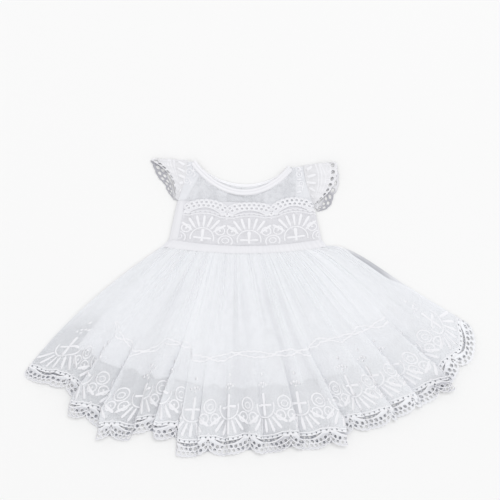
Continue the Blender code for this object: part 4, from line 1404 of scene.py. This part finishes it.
def dress_bodice():
    front = panel("bodice_front_satin", 120, 36, lay_at(BODICE_Z, body_flat, body_wrinkles),
                  BODICE_SATIN, shade=under_lace)
    dress(["bodice_front"])
    lace = lace_cloth("bodice_lace_net", BODICE_LACE_REPEATS, 0, lay_bodice_lace, LACE_NET,
                      top=BODICE_LACE_TOP)
    threads = kept_threads(
        border_threads(BODICE_LACE_REPEATS + 2, first=-1, eyelet_width=BODICE_EYELET_WIDTH),
        lambda x, y: (x >= 0.0) & (x <= BODICE_LACE_LENGTH) & (y < BODICE_DRAWN_TO))
    drawing = threads_piece("bodice_embroidery", threads, lay_bodice_lace, THREAD)
    dress(["bodice_lace_front"])
    lay_yoke = lay_at(YOKE_Z, yoke_to(NECK_DEPTH_FRONT), yoke_wrinkles)
    yoke = panel("yoke_front_net", 120, 30, lay_yoke, YOKE_NET, thin=yoke_painted_shade, stitched=yoke_lining)
    leaves = threads_piece("yoke_embroidery", shoulder_threads(), lay_on_yoke, THREAD)
    dress(["yoke_front"])
    lay_body_back = lay_at(BODICE_BACK_Z, body_flat, body_wrinkles, BACK_SLACK_SHARE)
    lay_yoke_back = lay_at(BODICE_BACK_Z, yoke_to(NECK_DEPTH_BACK), yoke_wrinkles, BACK_SLACK_SHARE)
    for word, start, end in (("left", 0.0, CENTRE_BACK), ("right", CENTRE_BACK + CENTRE_BACK_GAP, 1.0)):
        body = panel("bodice_back_" + word + "_satin", 60, 12, between(lay_body_back, start, end), SATIN_BACK_SHADED)
        dress(["bodice_back_" + word])
        top = panel("yoke_back_" + word + "_net", 60, 16, between(lay_yoke_back, start, end), TULLE_BACK)
        dress(["yoke_back_" + word])
    for word, z in (("front", 0.0051), ("back", 0.0004)):
        band = panel("waistband_" + word + "_satin", 240, 8, lay_band(z), RIBBON, shade=band_shade)
        dress(["waistband_" + word])
    for word, under, depth, low, rise, width, finish in (
            ("front", "yoke_front_net", NECK_DEPTH_FRONT, 0.0034, 0.0020, BINDING_WIDTH_FRONT, BINDING),
            ("back", "yoke_back_left_net", NECK_DEPTH_BACK, 0.0006, 0.0010, BINDING_WIDTH_BACK, SATIN)):
        strip = panel("neck_binding_" + word + "_satin", 120, 16,
                      binding_strip(depth, low, rise, width), finish)
        dress(["neck_binding_" + word])


# ---------------------------------------------------------------- cap sleeves
Sleeve = namedtuple("Sleeve", "side tip front_bend front_end back_bend back_end lobes dark_from")
SLEEVES = {
    "left": Sleeve(
        LEFT, tip=(-0.162, 0.238), front_bend=(-0.116, 0.222), front_end=(-0.1185, 0.178),
        back_bend=(-0.130, 0.199), back_end=(-0.1225, 0.174), lobes=2.3, dark_from=0.52),
    "right": Sleeve(
        RIGHT, tip=(0.144, 0.233), front_bend=(0.136, 0.182), front_end=(0.108, 0.170),
        back_bend=(0.141, 0.170), back_end=(0.111, 0.152), lobes=2.0, dark_from=0.72)}
SLEEVE_FRONT_Z = 0.0056
SLEEVE_BACK_Z = 0.0012
SLEEVE_RADIUS = (SLEEVE_FRONT_Z - SLEEVE_BACK_Z) / 2.0
SLEEVE_SEAM_DROP = SLEEVE_FRONT_Z - BODICE_Z - 0.0003
SLEEVE_ROLL = 0.14
SLEEVE_REPEATS = 2
SLEEVE_CUT = SLEEVE_REPEATS * REPEAT
SLEEVE_DEPTH = 0.050
SLEEVE_LOBE = 0.20
SLEEVE_RUFFLE = 0.0014
SLEEVE_RUFFLES = 5
SLEEVE_SEWN_REACH = 0.3
# Painted shade on a cap's under half and on its ground: strength, place along it, and fade.
SLEEVE_UNDER_DARK = (0.30, 0.52, 0.08)
SLEEVE_END_DARK = (0.70, 0.08)
SLEEVE_GROUND_DARK = (0.26, 0.56, 0.06)
SLEEVE_EDGE_LIGHT = (0.7, 0.012, 0.012)


def lay_sleeve(sleeve):
    """A lace cap folded over the shoulder: x runs from the front underarm to the back one."""

    def lay(x, y, height):
        share = np.clip(x / SLEEVE_CUT, 0.0, 1.0)
        in_front = share < 0.5
        reach = 1.0 - np.clip(y, -0.01, SLEEVE_DEPTH) / SLEEVE_DEPTH
        roll = hump((share - 0.5 + SLEEVE_ROLL / 2) / SLEEVE_ROLL)
        along = np.clip(np.minimum(share, 1.0 - share) / (0.5 - SLEEVE_ROLL / 2), 0.0, 1.0)
        lobe = SLEEVE_LOBE * np.abs(np.sin(np.pi * sleeve.lobes * along)) * (1.0 - along)
        reach = reach * (1.0 + lobe * (share > 0.5))
        seam = armhole_curve(sleeve.side, along)
        front = bend(sleeve.front_end, sleeve.front_bend, sleeve.tip, along)
        back = bend(sleeve.back_end, sleeve.back_bend, sleeve.tip, along)
        flat = mix(seam, np.where(in_front[..., None], front, back), reach[..., None])
        ruffle = SLEEVE_RUFFLE * reach * (1.0 - swell(SLEEVE_RUFFLES * along)) * (1.0 - roll)
        ruffle = ruffle * ease(along * SLEEVE_RUFFLES)
        sewn_on = SLEEVE_SEAM_DROP * in_front * (1.0 - roll) * (1.0 - ease(reach / SLEEVE_SEWN_REACH))
        radius = SLEEVE_RADIUS + height
        z = SLEEVE_BACK_Z + SLEEVE_RADIUS + radius * np.cos(np.pi * roll) + ruffle - sewn_on
        return at(flat[..., 0], flat[..., 1] + radius * np.sin(np.pi * roll), z)

    return lay


def sleeve_painted_shade(sleeve):
    """Painted shade: on the half under the shoulder, darker towards the underarm and at its outer edge, and a
    little on the whole upper half.
    """

    def shade(x, y):
        share = x / SLEEVE_CUT
        under, *under_range = SLEEVE_UNDER_DARK
        end, fade = SLEEVE_END_DARK
        dark = under * past(share, *under_range) + end * past(share, sleeve.dark_from, fade)
        ground, *ground_range = SLEEVE_GROUND_DARK
        light, *light_range = SLEEVE_EDGE_LIGHT
        return ground * before(share, *ground_range) + dark * (1.0 - light * past(y, *light_range))

    return shade


def dress_sleeves():
    half = SLEEVE_CUT / 2
    for word, sleeve in SLEEVES.items():
        lay = lay_sleeve(sleeve)
        cap = lace_cloth("sleeve_" + word + "_net", SLEEVE_REPEATS, 0, lay, SLEEVE_NET, top=SLEEVE_DEPTH,
                         shade=sleeve_painted_shade(sleeve), closed_to=SLEEVE_REPEATS * REPEAT_COLUMNS // 2)
        for part, low, high, finish in (("", 0.0, half, THREAD), ("_back", half, 2 * half, THREAD_INSIDE_SHADED)):
            threads = kept_threads(
                border_threads(SLEEVE_REPEATS),
                lambda x, y: (y < SLEEVE_DEPTH) & (x >= low) & (x <= high))
            threads_piece("sleeve_" + word + "_embroidery" + part, threads, lay, finish)
        dress(["sleeve_" + word])


dress_outer_skirt()
dress_underskirt()
dress_bodice()
dress_sleeves()


# ---------------------------------------------------------------- camera, floor and light
LENS = 85.0
SENSOR = 36.0
PICTURE_HALF = 0.4
PICTURE_MIDDLE = (0.0016, 0.0936)
FLOOR_HALF = 6.0
FLOOR_Z = -0.0004
LAMP_PLACE = (2.6, 5.2, 14.0)
LAMP_SIZE = 6.0
LAMP_POWER = 728.0
SKY_STRENGTH = 0.77


def look():
    data = bpy.data.cameras.new("above")
    data.lens = LENS
    data.sensor_width = SENSOR
    camera = add_object("above", data)
    camera.location = (*PICTURE_MIDDLE, PICTURE_HALF * LENS / (SENSOR / 2))
    bpy.context.scene.camera = camera


def floor():
    work = bmesh.new()
    bmesh.ops.create_grid(work, x_segments=1, y_segments=1, size=FLOOR_HALF)
    bmesh.ops.translate(work, verts=work.verts[:], vec=(0.0, 0.0, FLOOR_Z))
    mesh = keep_mesh(work, bpy.data.meshes.new("floor"))
    material, tree, shader = cloth_material("floor", (0.90, 0.90, 0.90), roughness=0.9, sheen=0.0)
    set_inputs(tree, shader, {"Specular IOR Level": 0.1})
    mesh.materials.append(material)
    add_object("floor", mesh)


def lights():
    world = bpy.data.worlds.new("studio")
    world.use_nodes = True
    set_inputs(world.node_tree, world.node_tree.nodes["Background"], {
        "Color": (1.0, 1.0, 1.0, 1.0), "Strength": SKY_STRENGTH})
    bpy.context.scene.world = world
    data = bpy.data.lights.new("key", "AREA")
    data.shape = "DISK"
    data.size = LAMP_SIZE
    data.energy = LAMP_POWER
    lamp = add_object("key", data)
    lamp.location = LAMP_PLACE
    lamp.rotation_euler = (-Vector(LAMP_PLACE)).to_track_quat("-Z", "Y").to_euler()


look()
floor()
lights()
bpy.context.scene.view_settings.view_transform = "Standard"
